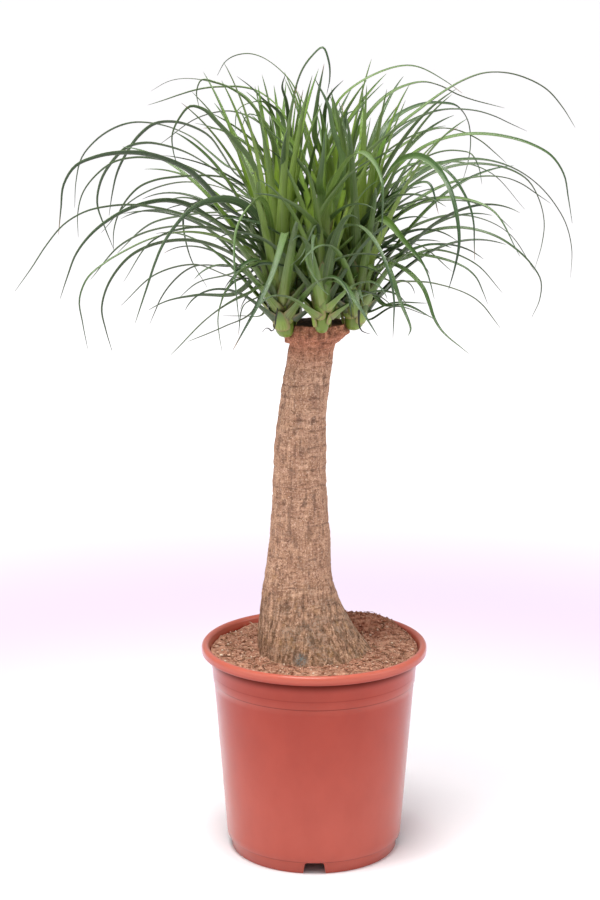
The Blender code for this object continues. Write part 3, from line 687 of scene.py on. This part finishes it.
def make_trunk():
    points, _ = welded("trunk")
    levels = {}
    for point in points:
        levels.setdefault(round(point[2], 4), []).append(point)
    rings = [np.array(levels[z]) for z in sorted(levels) if len(levels[z]) >= 20]
    turns = np.linspace(0, 2 * math.pi, TRUNK_TURNS, endpoint=False)
    rows, heights = [], []
    for ring in rings:
        middle = ring[:, :2].mean(0)
        arm = ring[:, :2] - middle
        angle = np.arctan2(arm[:, 1], arm[:, 0]) % (2 * math.pi)
        order = np.argsort(angle)
        reach = np.interp(turns, angle[order], np.linalg.norm(arm, axis=1)[order], period=2 * math.pi)
        kernel = np.hanning(13)
        kernel /= kernel.sum()
        reach = np.convolve(np.concatenate([reach[-6:], reach, reach[:6]]), kernel, "valid")
        rows.append(np.concatenate([middle, reach]))
        heights.append(ring[0, 2])
    dense = spline(rows, TRUNK_RINGS * 4, heights)
    level = np.linspace(heights[0], heights[-1], TRUNK_RINGS * 4)
    wanted = np.linspace(TRUNK_LOW, heights[-1], TRUNK_RINGS)
    pick = np.searchsorted(level, wanted).clip(0, len(level) - 1)
    middle, reach = dense[pick, :2], dense[pick, 2:]
    z = np.repeat(wanted[:, None], TRUNK_TURNS, 1)
    x = middle[:, :1] + reach * np.cos(turns)
    y = middle[:, 1:] + reach * np.sin(turns)
    place = np.stack([x.ravel(), y.ravel(), z.ravel()], 1)
    upper = ease(0.33, 0.42, z.ravel())

    lumps = layered(place / (0.030, 0.030, 0.024), 3, 5)
    ridges = layered(place / (0.0052, 0.0052, 0.040), 2, 11)
    ridges_fine = noise3(place / (0.0026, 0.0026, 0.014), 17)
    grain = noise3(place / (0.0019, 0.0019, 0.0019), 23)
    fissure = ease(0.30, 0.62, noise3(place / (0.0030, 0.0030, 0.0110), 31))
    pit = ease(0.42, 0.70, noise3(place / (0.0028, 0.0028, 0.0024), 37))
    cracks = np.zeros(len(place))
    chance = random.Random(4)
    at = 0.232
    while at < 0.556:
        across = np.stack([np.cos(turns) * 1.4, np.sin(turns) * 1.4, np.full(TRUNK_TURNS, at * 90)], 1)
        wobble = 0.0022 * noise3(across, 41) + 0.0008 * noise3(across * (4, 4, 1), 43)
        strength = ease(-0.15, 0.35, noise3(across * (1.7, 1.7, 1.3), 47) + 0.5 * noise3(across * (6, 6, 1), 49))
        width = chance.uniform(0.0007, 0.0012)
        groove = np.exp(-(((z - at - wobble[None, :]) / width) ** 2)) * strength[None, :]
        cracks = np.maximum(cracks, groove.ravel() * chance.uniform(0.5, 1.0))
        at += chance.uniform(0.007, 0.021)
    ring_swell = np.sin(z.ravel() * 2 * math.pi / 0.019 + 2 * lumps)
    roots = 1 - ease(0.225, 0.262, z.ravel())
    turn_all = np.tile(turns, TRUNK_RINGS)
    buttress = np.sin(7 * turn_all + 3 * np.sin(2 * turn_all) + 0.6) * roots
    rise = (
        0.0011 * lumps
        + (0.00055 - 0.00030 * upper) * ridges
        + 0.00028 * ridges_fine
        + 0.00026 * grain
        + 0.00025 * ring_swell * upper
        + 0.0011 * buttress
        - (0.00060 - 0.00025 * upper) * fissure
        - 0.00035 * pit
        - 0.00085 * cracks
    )
    tall = z.ravel()
    right_side = np.maximum(np.cos(turn_all), 0) * ease(0.28, 0.32, tall) * (1 - ease(0.53, 0.55, tall))
    knobs = noise3(place / 0.0048, 53) * ease(0.530, 0.548, tall)
    reach = reach.ravel() + rise + 0.0013 * right_side + 0.0019 * knobs
    front = 1 - ease(0.45, 0.80, np.abs(np.cos(turn_all)))
    under_head = 0.0238 + 0.030 * (ease(0.5495, 0.5565, tall + 0.0012 * knobs) + front)
    reach = np.where(tall > 0.53, np.minimum(reach, under_head), reach)
    place[:, 0] = np.repeat(middle[:, 0], TRUNK_TURNS) + reach * np.cos(turn_all)
    place[:, 1] = np.repeat(middle[:, 1], TRUNK_TURNS) + reach * np.sin(turn_all)
    # Mask for painted shade in the bark's hollows: where fissures, cracks and pits push the surface in.
    cavity_shade = np.clip(0.55 * fissure + 0.85 * cracks + 0.40 * pit - 0.25 * ridges, 0, 1)
    right = ease(-0.2, 0.8, np.cos(turn_all + 0.9))
    scale = ease(-0.1, 0.45, noise3(place / (0.0055, 0.0055, 0.009), 61))
    patch = scale * right * (1 - ease(0.262, 0.30, z.ravel())) + 0.4 * ease(0.35, 0.75, noise3(place / (0.008, 0.008, 0.010), 67)) * (1 - upper)
    rows = np.stack([cavity_shade, np.zeros(len(place)), np.clip(patch, 0, 1)], 1)

    last = place[-TRUNK_TURNS:]
    centre = last.mean(0)
    cap, cap_rows = [], []
    for k in range(1, 15):
        share = k / 15
        ring = centre + (last - centre) * (1 - share)
        bump = noise3(ring / 0.006, 71) * 0.0010 * min(1, 3 * share)
        ring[:, 2] = last[:, 2] + 0.0016 * math.sin(math.pi * share / 2) + bump
        cap.append(ring)
        # First row 0.3: painted shade over the cut top. Second row: the share of cut wood colour.
        cap_rows.append(np.tile((0.3, ease(0.0, 0.25, share), 0.0), (TRUNK_TURNS, 1)))
    place = np.concatenate([place, *cap])
    rows = np.concatenate([rows, *cap_rows])
    count = len(place) // TRUNK_TURNS
    faces = tube_faces(count, TRUNK_TURNS)
    faces.append(tuple(reversed(range(TRUNK_TURNS))))
    faces.append(tuple(range((count - 1) * TRUNK_TURNS, count * TRUNK_TURNS)))
    return piece("trunk_bark", place, faces, bark_finish(), ("trunk",), {"bark": rows}, 80)


# ---------------------------------------------------------------- soil

SOIL_TURNS = 300
SOIL_RINGS = 105
SOIL_WALL = ((0.0910, 0.0170), (0.0980, 0.1080), (0.1047, 0.1960), (0.1084, 0.2100))
SOIL_EDGE = 0.1104


def soil_level(x, y):
    """Height of the soil: the CAD level, a heap at the back right, and loose lumps."""
    x, y = np.asarray(x, float), np.asarray(y, float)
    flat = np.stack([x, y, np.zeros_like(x)], -1).reshape(-1, 3)
    heap = np.maximum(0, 0.6 * x + 0.8 * y) / 0.12
    level = 0.2178 + 0.0045 * heap
    away = np.hypot((x - 0.052) / 0.052, (y - 0.076) / 0.034)
    level = level + 0.0112 * np.exp(-(away**2))
    lumps = layered(flat / (0.017, 0.017, 1), 2, 81).reshape(x.shape)
    return level + 0.0022 * lumps


def make_soil():
    turns = np.linspace(0, 2 * math.pi, SOIL_TURNS, endpoint=False)
    rings = [np.stack([r * np.cos(turns), r * np.sin(turns), np.full(SOIL_TURNS, z)], 1) for r, z in SOIL_WALL]
    for k in range(SOIL_RINGS):
        r = SOIL_EDGE * (1 - k / SOIL_RINGS) ** 0.9
        x, y = r * np.cos(turns), r * np.sin(turns)
        z = soil_level(x, y)
        flat = np.stack([x, y, z], 1)
        crumb = layered(flat / 0.0052, 3, 87) * 0.0019 + np.abs(noise3(flat / 0.0027, 91)) * 0.0011
        keep = ease(SOIL_EDGE, SOIL_EDGE - 0.0035, np.full(SOIL_TURNS, r)) * 0.6 + 0.4
        rings.append(np.stack([x, y, z + crumb * keep - 0.0012 * (1 - keep)], 1))
    points = np.concatenate(rings)
    count = len(rings)
    faces = tube_faces(count, SOIL_TURNS)
    faces.append(tuple(reversed(range(SOIL_TURNS))))
    faces.append(tuple(range((count - 1) * SOIL_TURNS, count * SOIL_TURNS)))
    rows = np.zeros((len(points), 3))
    return piece("soil_bed", points, faces, soil_finish(), ("soil",), {"crumb": rows}, 80)


def inside_trunk(x, y):
    return math.hypot(x + 0.002, y) < 0.056


def make_crumbs():
    """Loose crumbs, bark chips and pale bits on the soil."""
    chance = random.Random(11)
    seed = bmesh.new()
    bmesh.ops.create_icosphere(seed, subdivisions=2, radius=1.0)
    ball = np.array([v.co for v in seed.verts])
    ball_faces = [tuple(v.index for v in f.verts) for f in seed.faces]
    seed.free()
    points, faces, rows = [], [], []
    made = 0
    while made < 1900:
        r, a = 0.110 * math.sqrt(chance.random()), chance.uniform(0, 2 * math.pi)
        x, y = r * math.cos(a), r * math.sin(a)
        if inside_trunk(x, y):
            continue
        size = chance.uniform(0.6, 1.0) ** 2 * chance.choice((0.8, 1.0, 1.3, 1.9)) * MM
        if chance.random() < 0.05:
            size *= 1.5
        if r + size > SOIL_EDGE:
            continue
        shape = np.array([chance.uniform(0.7, 1.2), chance.uniform(0.7, 1.2), chance.uniform(0.6, 1.0)])
        rough = 1 + 0.32 * noise3(ball * 1.6 + made * 7.3, 3)
        turn = chance.uniform(0, math.pi)
        body = ball * rough[:, None] * shape * size
        c, s = math.cos(turn), math.sin(turn)
        body = body @ np.array(((c, s, 0), (-s, c, 0), (0, 0, 1)))
        z = float(soil_level(x, y)) + chance.uniform(0.2, 1.8) * MM
        faces += [tuple(i + made * len(ball) for i in f) for f in ball_faces]
        points.append(body + (x, y, z))
        rows.append(np.tile((chance.random(), 1.0, 0.0), (len(ball), 1)))
        made += 1
    rows = {"crumb": np.concatenate(rows)}
    return piece("soil_crumbs", np.concatenate(points), faces, soil_finish(), (), rows, 80)


def make_fibres():
    """Coir fibres and rootlets lying on the soil, and a few standing out of it."""
    chance = random.Random(17)
    points, faces, rows = [], [], []
    made = 0
    while made < 330:
        r, a = 0.107 * math.sqrt(chance.random()), chance.uniform(0, 2 * math.pi)
        x, y = r * math.cos(a), r * math.sin(a)
        if inside_trunk(x, y):
            continue
        heading, length = chance.uniform(0, 2 * math.pi), chance.uniform(5, 19) * MM
        curl, lift = chance.uniform(-2.2, 2.2), chance.uniform(0.0, 0.5) ** 2 * 4
        thick = chance.uniform(0.16, 0.42) * MM
        stations, sides = 9, 5
        spine = []
        at = np.array((x, y, 0.0))
        for k in range(stations):
            share = k / (stations - 1)
            wave = 0.0006 * math.sin(6 * share + made)
            z = float(soil_level(at[0], at[1])) + 1.6 * MM + lift * length * 0.35 * share * (1 - 0.5 * share) + wave
            spine.append((at[0], at[1], z))
            turn = heading + curl * share
            at = at + np.array((math.cos(turn), math.sin(turn), 0)) * length / stations
        spine = np.array(spine)
        if np.hypot(spine[:, 0], spine[:, 1]).max() > SOIL_EDGE:
            continue
        along = unit(np.gradient(spine, axis=0))
        side = unit(np.cross(along, (0, 0, 1)))
        up = np.cross(side, along)
        base = made * stations * sides
        for k in range(stations):
            wide = thick * (1 - 0.7 * abs(2 * k / (stations - 1) - 1) ** 3)
            for j in range(sides):
                turn = 2 * math.pi * j / sides
                points.append(spine[k] + (side[k] * math.cos(turn) + up[k] * math.sin(turn)) * wide)
        faces += tube_faces(stations, sides, base)
        faces.append(tuple(base + j for j in reversed(range(sides))))
        faces.append(tuple(base + (stations - 1) * sides + j for j in range(sides)))
        rows.append(np.tile((chance.random(), 1.0, 0.0), (stations * sides, 1)))
        made += 1
    rows = {"crumb": np.concatenate(rows)}
    return piece("soil_fibres", points, faces, fibre_finish(), (), rows, 80)


# ---------------------------------------------------------------- foliage

HERO_STATIONS = 60
FILL_STATIONS = 34


def strap(share, length, width):
    """Half width of a leaf: a clasping base, a long taper and a thread tip."""
    metres = share * length
    clasp = 1 + 0.45 * np.exp(-((metres / 0.014) ** 2))
    return 0.5 * width * clasp * np.maximum(1 - share, 0) ** 0.84 + 0.00022


def gutter(share, length, deep=0.22):
    """How far the blade's edges rise, as a share of its half width."""
    metres = share * length
    return deep + 0.42 * np.exp(-((metres / 0.020) ** 2)) + 0.18 * share**2


def nearest_shoot(point):
    """(low, top) of the shoot whose axis passes closest to a point."""
    names = [name for name in sorted(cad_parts) if name.startswith("shoot_")]
    axes = [shoot_axis(name)[:2] for name in names]
    return min(axes, key=lambda axis: np.linalg.norm((axis[0] + axis[1])[:2] / 2 - point[:2]))


def make_hero(name, material, chance):
    """A fine leaf on the spine and the width of a CAD leaf."""
    rough_spine, rough_side = leaf_stations(name)
    dried = name.startswith("dried")
    width = 2 * max(np.linalg.norm(rough_side, axis=1))
    if not dried:
        low, top = nearest_shoot(rough_spine[0])
        rise = np.clip((rough_spine[0][2] - 0.012 - low[2]) / (top[2] - low[2]), 0.0, 0.9)
        rough_spine = np.concatenate([[low + (top - low) * rise], rough_spine])
        rough_side = np.concatenate([rough_side[1:2], rough_side[1:2], rough_side[1:]])
    knots = np.concatenate([[0], np.cumsum(np.linalg.norm(np.diff(rough_spine, axis=0), axis=1))])
    spine = spline(rough_spine, HERO_STATIONS, knots)
    side = spline(unit(rough_side), HERO_STATIONS, knots)
    length = knots[-1]
    if dried:
        bare = HERO_STATIONS // 3
        spine, side = spine[bare:], side[bare:]
    share = np.linspace(0, 1, len(spine))
    half = strap(share, length, width * (0.5 if dried else 0.94))
    if dried:
        half = half * ease(-0.1, 0.3, share)
    wave = chance.uniform(0, 6.3)
    edge = 1 + 0.035 * np.sin(share * length / 0.021 + wave) * (1 - share)
    twist = chance.uniform(-0.9, 0.9) * share**2 + 0.10 * np.sin(7 * share + wave)
    foliage = Foliage()
    bright = chance.uniform(0.0, 0.22)
    tone = (chance.random(), bright, float(chance.random() < 0.12))
    foliage.add(spine, side, half * edge, gutter(share, length, 0.30), 0.00055, tone, twist)
    return foliage.make(name + "_blade", material, (name,))


def shoot_axis(name):
    """(lowest whole ring's centre, top, neck radius) of a CAD shoot."""
    points, _ = welded(name)
    levels = {}
    for point in points:
        levels.setdefault(round(point[2], 4), []).append(point)
    whole = [np.array(levels[z]) for z in sorted(levels) if len(levels[z]) == 12]
    low = whole[0].mean(0)
    neck = np.linalg.norm(whole[0][0] - low)
    return low, points[points[:, 2].argmax()], neck


def bent(start, azimuth, lift, length, bend, sway, power):
    """(spine, side) of a leaf that sets off at the angle lift and bends over by bend."""
    share = np.linspace(0, 1, FILL_STATIONS)
    angle = lift - bend * share**power
    heading = azimuth + sway * share**1.5
    steps = np.stack([np.cos(angle) * np.cos(heading), np.cos(angle) * np.sin(heading), np.sin(angle)], 1)
    steps *= length / (FILL_STATIONS - 1)
    spine = np.asarray(start) + np.concatenate([np.zeros((1, 3)), np.cumsum(steps[:-1], 0)])
    side = np.stack([-np.sin(heading), np.cos(heading), np.zeros(FILL_STATIONS)], 1)
    return spine, side


def inside_box(spine, margin=0.004):
    low, high = np.array(CAD_LOW) + margin, np.array(CAD_HIGH) - margin
    return bool((spine >= low).all() and (spine <= high).all())


# Each row: shoot, number of leaves, first turn (degrees), longest leaf
ROSETTES = (
    ("shoot_front", 27, 20, 0.190),
    ("shoot_left", 37, 75, 0.250),
    ("shoot_right", 37, 140, 0.250),
    ("shoot_back_left", 34, 10, 0.250),
    ("shoot_back_right", 34, 200, 0.250),
)


# Share of a shoot's height, and the heart's radius there as a share of its neck
HEART = ((-0.13, 0.20), (-0.12, 0.42), (-0.09, 0.60), (-0.04, 0.70), (0.1, 0.66), (0.3, 0.44), (0.5, 0.20), (0.6, 0.05))


def make_rosette(name, count, first, longest, material):
    """The heart of a shoot, its clasping scales and the leaves that spring from it."""
    chance = random.Random(sum(map(ord, name)) + 5)
    low, top, neck = shoot_axis(name)
    axis = top - low
    span = np.linalg.norm(axis)
    foliage = Foliage()
    turns = np.linspace(0, 2 * math.pi, 20, endpoint=False)
    rings = []
    for share, wide in HEART:
        circle = np.stack([np.cos(turns), np.sin(turns), np.zeros(20)], 1) * neck * wide
        rings.append(low + axis * share + circle)
    foliage.add_core(rings, 0.5)
    share = np.linspace(0, 1, FILL_STATIONS)
    away = Vector((low[0], low[1])).length
    outward = math.atan2(low[1], low[0])
    for k in range(14):
        turn = k * GOLDEN_TURN + math.radians(first + 40)
        height = (-0.011 + 0.0024 * k) + chance.uniform(-0.001, 0.001)
        reach = neck * (0.72 - 0.012 * k)
        start = low + axis / span * height + np.array((math.cos(turn), math.sin(turn), 0)) * reach
        length = chance.uniform(0.016, 0.024) + 0.0024 * k
        spine, side = bent(start, turn, math.radians(chance.uniform(72, 84)), length, math.radians(chance.uniform(0, 30)), 0, 1.5)
        rounded = np.sqrt(1 - (1 - np.minimum(share / 0.22, 1)) ** 2)
        half = neck * chance.uniform(0.46, 0.64) * rounded * (1 - share**2.2) ** 0.8 + 0.0003
        tone = (chance.uniform(0, 0.5), 0.6, 0.5)
        foliage.add(spine, side, half, 0.36 * (1 - 0.3 * share), 0.0007, tone)
    for k in range(count):
        age = k / (count - 1)
        turn = k * GOLDEN_TURN + math.radians(first) + chance.uniform(-0.15, 0.15)
        lean = math.cos(turn - outward)
        height = (0.46 - 0.46 * age) * span + chance.uniform(-0.003, 0.003)
        reach = neck * (0.20 + 0.66 * age)
        start = low + axis / span * height + np.array((math.cos(turn), math.sin(turn), 0)) * reach
        lift = math.radians(88 - 50 * age**0.9 + chance.uniform(-6, 6) + 4 * lean)
        shape = math.sin(math.pi * min(1.0, 0.22 + 0.62 * age)) ** 0.8
        length = longest * shape * chance.uniform(0.72, 1.0)
        bend = math.radians(12 + 92 * age**1.1 * chance.uniform(0.6, 1.25))
        sway = chance.uniform(-0.35, 0.35)
        while True:
            spine, side = bent(start, turn, lift, length, bend, sway, chance.uniform(1.6, 2.6))
            if inside_box(spine):
                break
            length *= 0.92
        width = (chance.uniform(8.0, 12.0) + 5.0 * (1 - age)) * MM
        twist = chance.uniform(-1.1, 1.1) * share**2
        tone = (chance.random(), max(0.0, 1 - 1.25 * age) * chance.uniform(0.6, 1.0), float(chance.random() < 0.12))
        foliage.add(spine, side, strap(share, length, width), gutter(share, length, 0.42), 0.0006, tone, twist)
    return foliage.make(name + "_rosette", material, (name,))


# Finer leaves between the CAD ones. Each row: shoot, root height (0 to 1), tip depth (cm),
# width (mm), roll (degrees), then the route (x, z) in centimetres as it looks from EYE.
FINE_LEAVES = (
    ("back_left", 0.30, 17, 7, 12, ((-8.4, 62.2), (-12.4, 61.0), (-13.9, 59.7))),
    ("left", 0.05, 2, 6, 15, ((-5.4, 57.9), (-7.5, 57.8), (-9.5, 57.8))),
    ("left", 0.30, 6, 6, 20, ((-7.5, 61.8), (-12.4, 63.1), (-16.3, 62.1), (-19.9, 58.9))),
    ("back_left", 0.95, 10, 6, 20, ((-2.5, 81.7), (-5.2, 84.0), (-6.8, 84.4), (-9.1, 83.5), (-9.8, 82.3))),
    ("back_left", 0.92, 2, 12, 40, ((-3.7, 78.6), (-5.2, 79.8), (-6.6, 81.2), (-7.8, 82.1))),
    ("back_left", 0.90, 22, 6, 10, ((-6.5, 79.6), (-10.5, 81.6), (-14.9, 81.6), (-16.5, 80.7))),
    ("back_left", 0.90, -3, 7, 30, ((-4.0, 77.6), (-5.2, 79.6), (-7.7, 78.9), (-8.1, 76.6))),
    ("back_left", 0.98, -2, 9, 10, ((-2.6, 77.0), (-2.9, 79.7), (-3.3, 81.1), (-3.0, 82.3))),
    ("left", 0.60, 8, 6, 25, ((-8.6, 69.6), (-13.4, 68.0), (-12.8, 64.0), (-11.1, 60.8))),
    ("left", 0.12, -9, 7, 30, ((-5.6, 59.9), (-7.3, 58.9), (-7.9, 55.8))),
    ("back_right", 0.95, 8, 6, 15, ((2.4, 79.7), (5.7, 82.2), (9.8, 83.2), (13.1, 81.7), (14.8, 80.5))),
    ("back_right", 0.32, 9, 8, 15, ((7.6, 63.4), (12.4, 64.6), (16.6, 63.1), (19.3, 60.2))),
    ("back_right", 0.28, 19, 8, 12, ((7.2, 65.0), (10.4, 65.2), (14.1, 62.4))),
    ("right", 0.60, -7, 12, 40, ((7.0, 69.5), (9.1, 70.8), (11.6, 71.4), (12.6, 68.4))),
    ("right", 0.25, -16, 8, 30, ((6.2, 62.5), (7.3, 63.1), (8.9, 59.1), (9.9, 56.6), (9.7, 55.7))),
    ("right", 0.06, -2, 7, 10, ((5.2, 58.2), (8.0, 59.1), (11.5, 59.1))),
    ("right", 0.03, 4, 6, 10, ((5.5, 57.4), (8.0, 58.7), (12.0, 57.7))),
    ("back_right", 0.98, -3, 8, 5, ((0.9, 77.0), (1.2, 79.6), (1.8, 80.7), (2.8, 81.7))),
    ("front", 0.98, -4, 11, 5, ((2.8, 73.9), (1.8, 77.0), (1.4, 79.1), (0.0, 81.9))),
    ("front", 0.90, -6, 15, 5, ((1.6, 71.0), (3.5, 74.3), (2.9, 77.5), (2.4, 79.7))),
    ("front", 0.40, -16, 5, 25, ((-0.4, 65.2), (-0.8, 63.5), (0.6, 60.8), (1.4, 60.0))),
    ("front", 0.35, -13, 5, 25, ((0.2, 67.2), (-1.3, 64.1), (-2.6, 62.9))),
    ("left", 0.50, -14, 8, 28, ((-7.6, 66.0), (-12.6, 66.9), (-16.8, 65.4), (-19.6, 61.4))),
    ("left", 0.46, 12, 7, 18, ((-9.0, 66.3), (-14.6, 67.0), (-20.0, 65.0), (-23.0, 61.6))),
    ("back_left", 0.62, 18, 7, 16, ((-8.0, 70.4), (-13.8, 71.5), (-19.0, 69.4), (-21.8, 66.4))),
    ("back_right", 0.60, 22, 7, 16, ((7.6, 71.0), (12.5, 73.5), (18.0, 72.4), (21.4, 68.8))),
    ("right", 0.44, -12, 8, 24, ((8.0, 67.6), (13.0, 69.9), (18.2, 68.6), (21.0, 64.0))),
    ("right", 0.36, 14, 7, 14, ((8.8, 66.4), (14.6, 68.2), (20.0, 66.2), (22.6, 62.4))),
)


def carried(x, z, depth):
    """The point at this depth on EYE's sight line through (x, 0, z), given in centimetres."""
    reach = 1 + depth / -EYE.y
    return np.array((EYE.x + reach * (x * CM - EYE.x), depth, EYE.z + reach * (z * CM - EYE.z)))


def make_fine(name, row, material, chance):
    shoot, root, depth, width, roll, route = row
    low, top, neck = shoot_axis("shoot_" + shoot)
    start = low + (top - low) * (0.05 + 0.75 * root)
    widest = max(abs(x * CM - start[0]) for x, _ in route)
    knots = [start]
    for step, (x, z) in enumerate(route):
        if widest > 0.06:
            gone = abs(x * CM - start[0]) / widest
        else:
            gone = (step + 1) / len(route)
        knots.append(carried(x, z, start[1] + gone * (depth * CM - start[1])))
    knots = np.array(knots)
    outward = unit((knots[1] - knots[0]) * (1, 1, 0))
    knots = np.insert(knots, 1, start + outward * neck * 0.9 + (0, 0, 0.024), axis=0)
    gaps = np.concatenate([[0], np.cumsum(np.linalg.norm(np.diff(knots, axis=0), axis=1))])
    spine = spline(knots, HERO_STATIONS, gaps)
    share = np.linspace(0, 1, HERO_STATIONS)
    heading = (spine[-1] - spine[0]) * (1, 1, 0)
    if np.linalg.norm(heading) < 0.02:
        heading = np.array((heading[0], -0.02, 0))
    level = np.cross((0, 0, 1), unit(heading))
    side = np.tile(level, (HERO_STATIONS, 1))
    wave = chance.uniform(0, 6.3)
    twist = math.radians(roll) * np.minimum(3 * share, 1) + chance.uniform(-0.8, 0.8) * share**2
    half = strap(share, gaps[-1], width * MM) * (1 + 0.03 * np.sin(share * 14 + wave))
    foliage = Foliage()
    tone = (chance.random(), chance.uniform(0, 0.22), float(chance.random() < 0.12))
    foliage.add(spine, side, half, gutter(share, gaps[-1]), 0.0005, tone, twist)
    return foliage.make(name, material, ())


# ---------------------------------------------------------------- stage

def make_stage():
    floor = Finish("pale_floor", 0.65, Specular_IOR_Level=0.2)
    cloud = floor.noise(floor.place, 1.6, 2.0)
    reach = floor.add("VectorMath", "Value", {"operation": "LENGTH"}, i0=floor.place)
    haze = floor.math("MULTIPLY", floor.span(reach, 0.1, 0.9), floor.span(reach, 0.9, 1.8, 1.0, 0.0))
    plain = floor.ramp(cloud, (0.3, (0.900, 0.885, 0.905)), (0.7, (0.915, 0.900, 0.920)))
    floor.set("Base Color", floor.mix(haze, plain, (0.672, 0.568, 0.700)))
    near = floor.span(reach, 0.095, 0.16, 0.0, 0.14)
    floor.set("Emission Strength", floor.math("ADD", near, floor.span(reach, 0.8, 2.6, 0.0, 0.46)))
    floor.shader.inputs["Emission Color"].default_value = (1.0, 0.99, 1.0, 1.0)
    data = bpy.data.meshes.new("floor")
    mesh = bmesh.new()
    bmesh.ops.create_circle(mesh, cap_ends=True, radius=90.0, segments=96)
    mesh.to_mesh(data)
    mesh.free()
    data.materials.append(floor.material)
    ground = bpy.data.objects.new("floor", data)
    bpy.context.scene.collection.objects.link(ground)

    world = bpy.data.worlds.new("studio")
    world.use_nodes = True
    world.node_tree.nodes["Background"].inputs["Color"].default_value = (1.0, 0.985, 1.0, 1.0)
    world.node_tree.nodes["Background"].inputs["Strength"].default_value = 0.46
    bpy.context.scene.world = world

    # name, place, aimed at, size, power, colour
    lamps = (
        ("top_softbox", (-0.25, -0.55, 2.6), (0, 0, 0.5), 1.2, 76.0, (1.0, 0.985, 0.965)),
        ("left_softbox", (-2.1, -0.9, 1.3), (0, 0, 0.4), 1.5, 17.0, (1.0, 0.98, 0.98)),
        ("right_softbox", (2.2, -0.7, 1.2), (0, 0, 0.4), 1.5, 18.0, (1.0, 0.98, 1.0)),
    )
    for name, place, aim, size, power, colour in lamps:
        light = bpy.data.lights.new(name, "AREA")
        light.shape = "SQUARE"
        light.size = size
        light.energy = power
        light.color = colour
        lamp = bpy.data.objects.new(name, light)
        lamp.location = place
        lamp.rotation_euler = (Vector(aim) - Vector(place)).to_track_quat("-Z", "Y").to_euler()
        bpy.context.scene.collection.objects.link(lamp)


def make_camera():
    camera = bpy.data.cameras.new("camera")
    camera.lens = CAMERA_LENS
    camera.sensor_width = 36.0
    made = bpy.data.objects.new("camera", camera)
    made.location = EYE
    made.rotation_euler = (math.radians(90 - CAMERA_PITCH), 0, 0)
    bpy.context.scene.collection.objects.link(made)
    bpy.context.scene.camera = made
    bpy.context.scene.view_settings.view_transform = "Standard"
    bpy.context.scene.view_settings.look = "None"


# ---------------------------------------------------------------- all of it

def main():
    make_camera()
    make_stage()
    make_pot()
    make_trunk()
    make_soil()
    make_crumbs()
    make_fibres()
    green = leaf_finish("strap_leaf_green", False)
    dry = dried_finish()
    chance = random.Random(23)
    for name in sorted(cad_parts):
        if name.startswith("leaf_"):
            make_hero(name, green, chance)
        elif name.startswith("dried_"):
            make_hero(name, dry, chance)
    for name, count, first, longest in ROSETTES:
        make_rosette(name, count, first, longest, green)
    for i, row in enumerate(FINE_LEAVES):
        make_fine(f"fine_leaf_{i + 1:02d}", row, green, chance)


main()
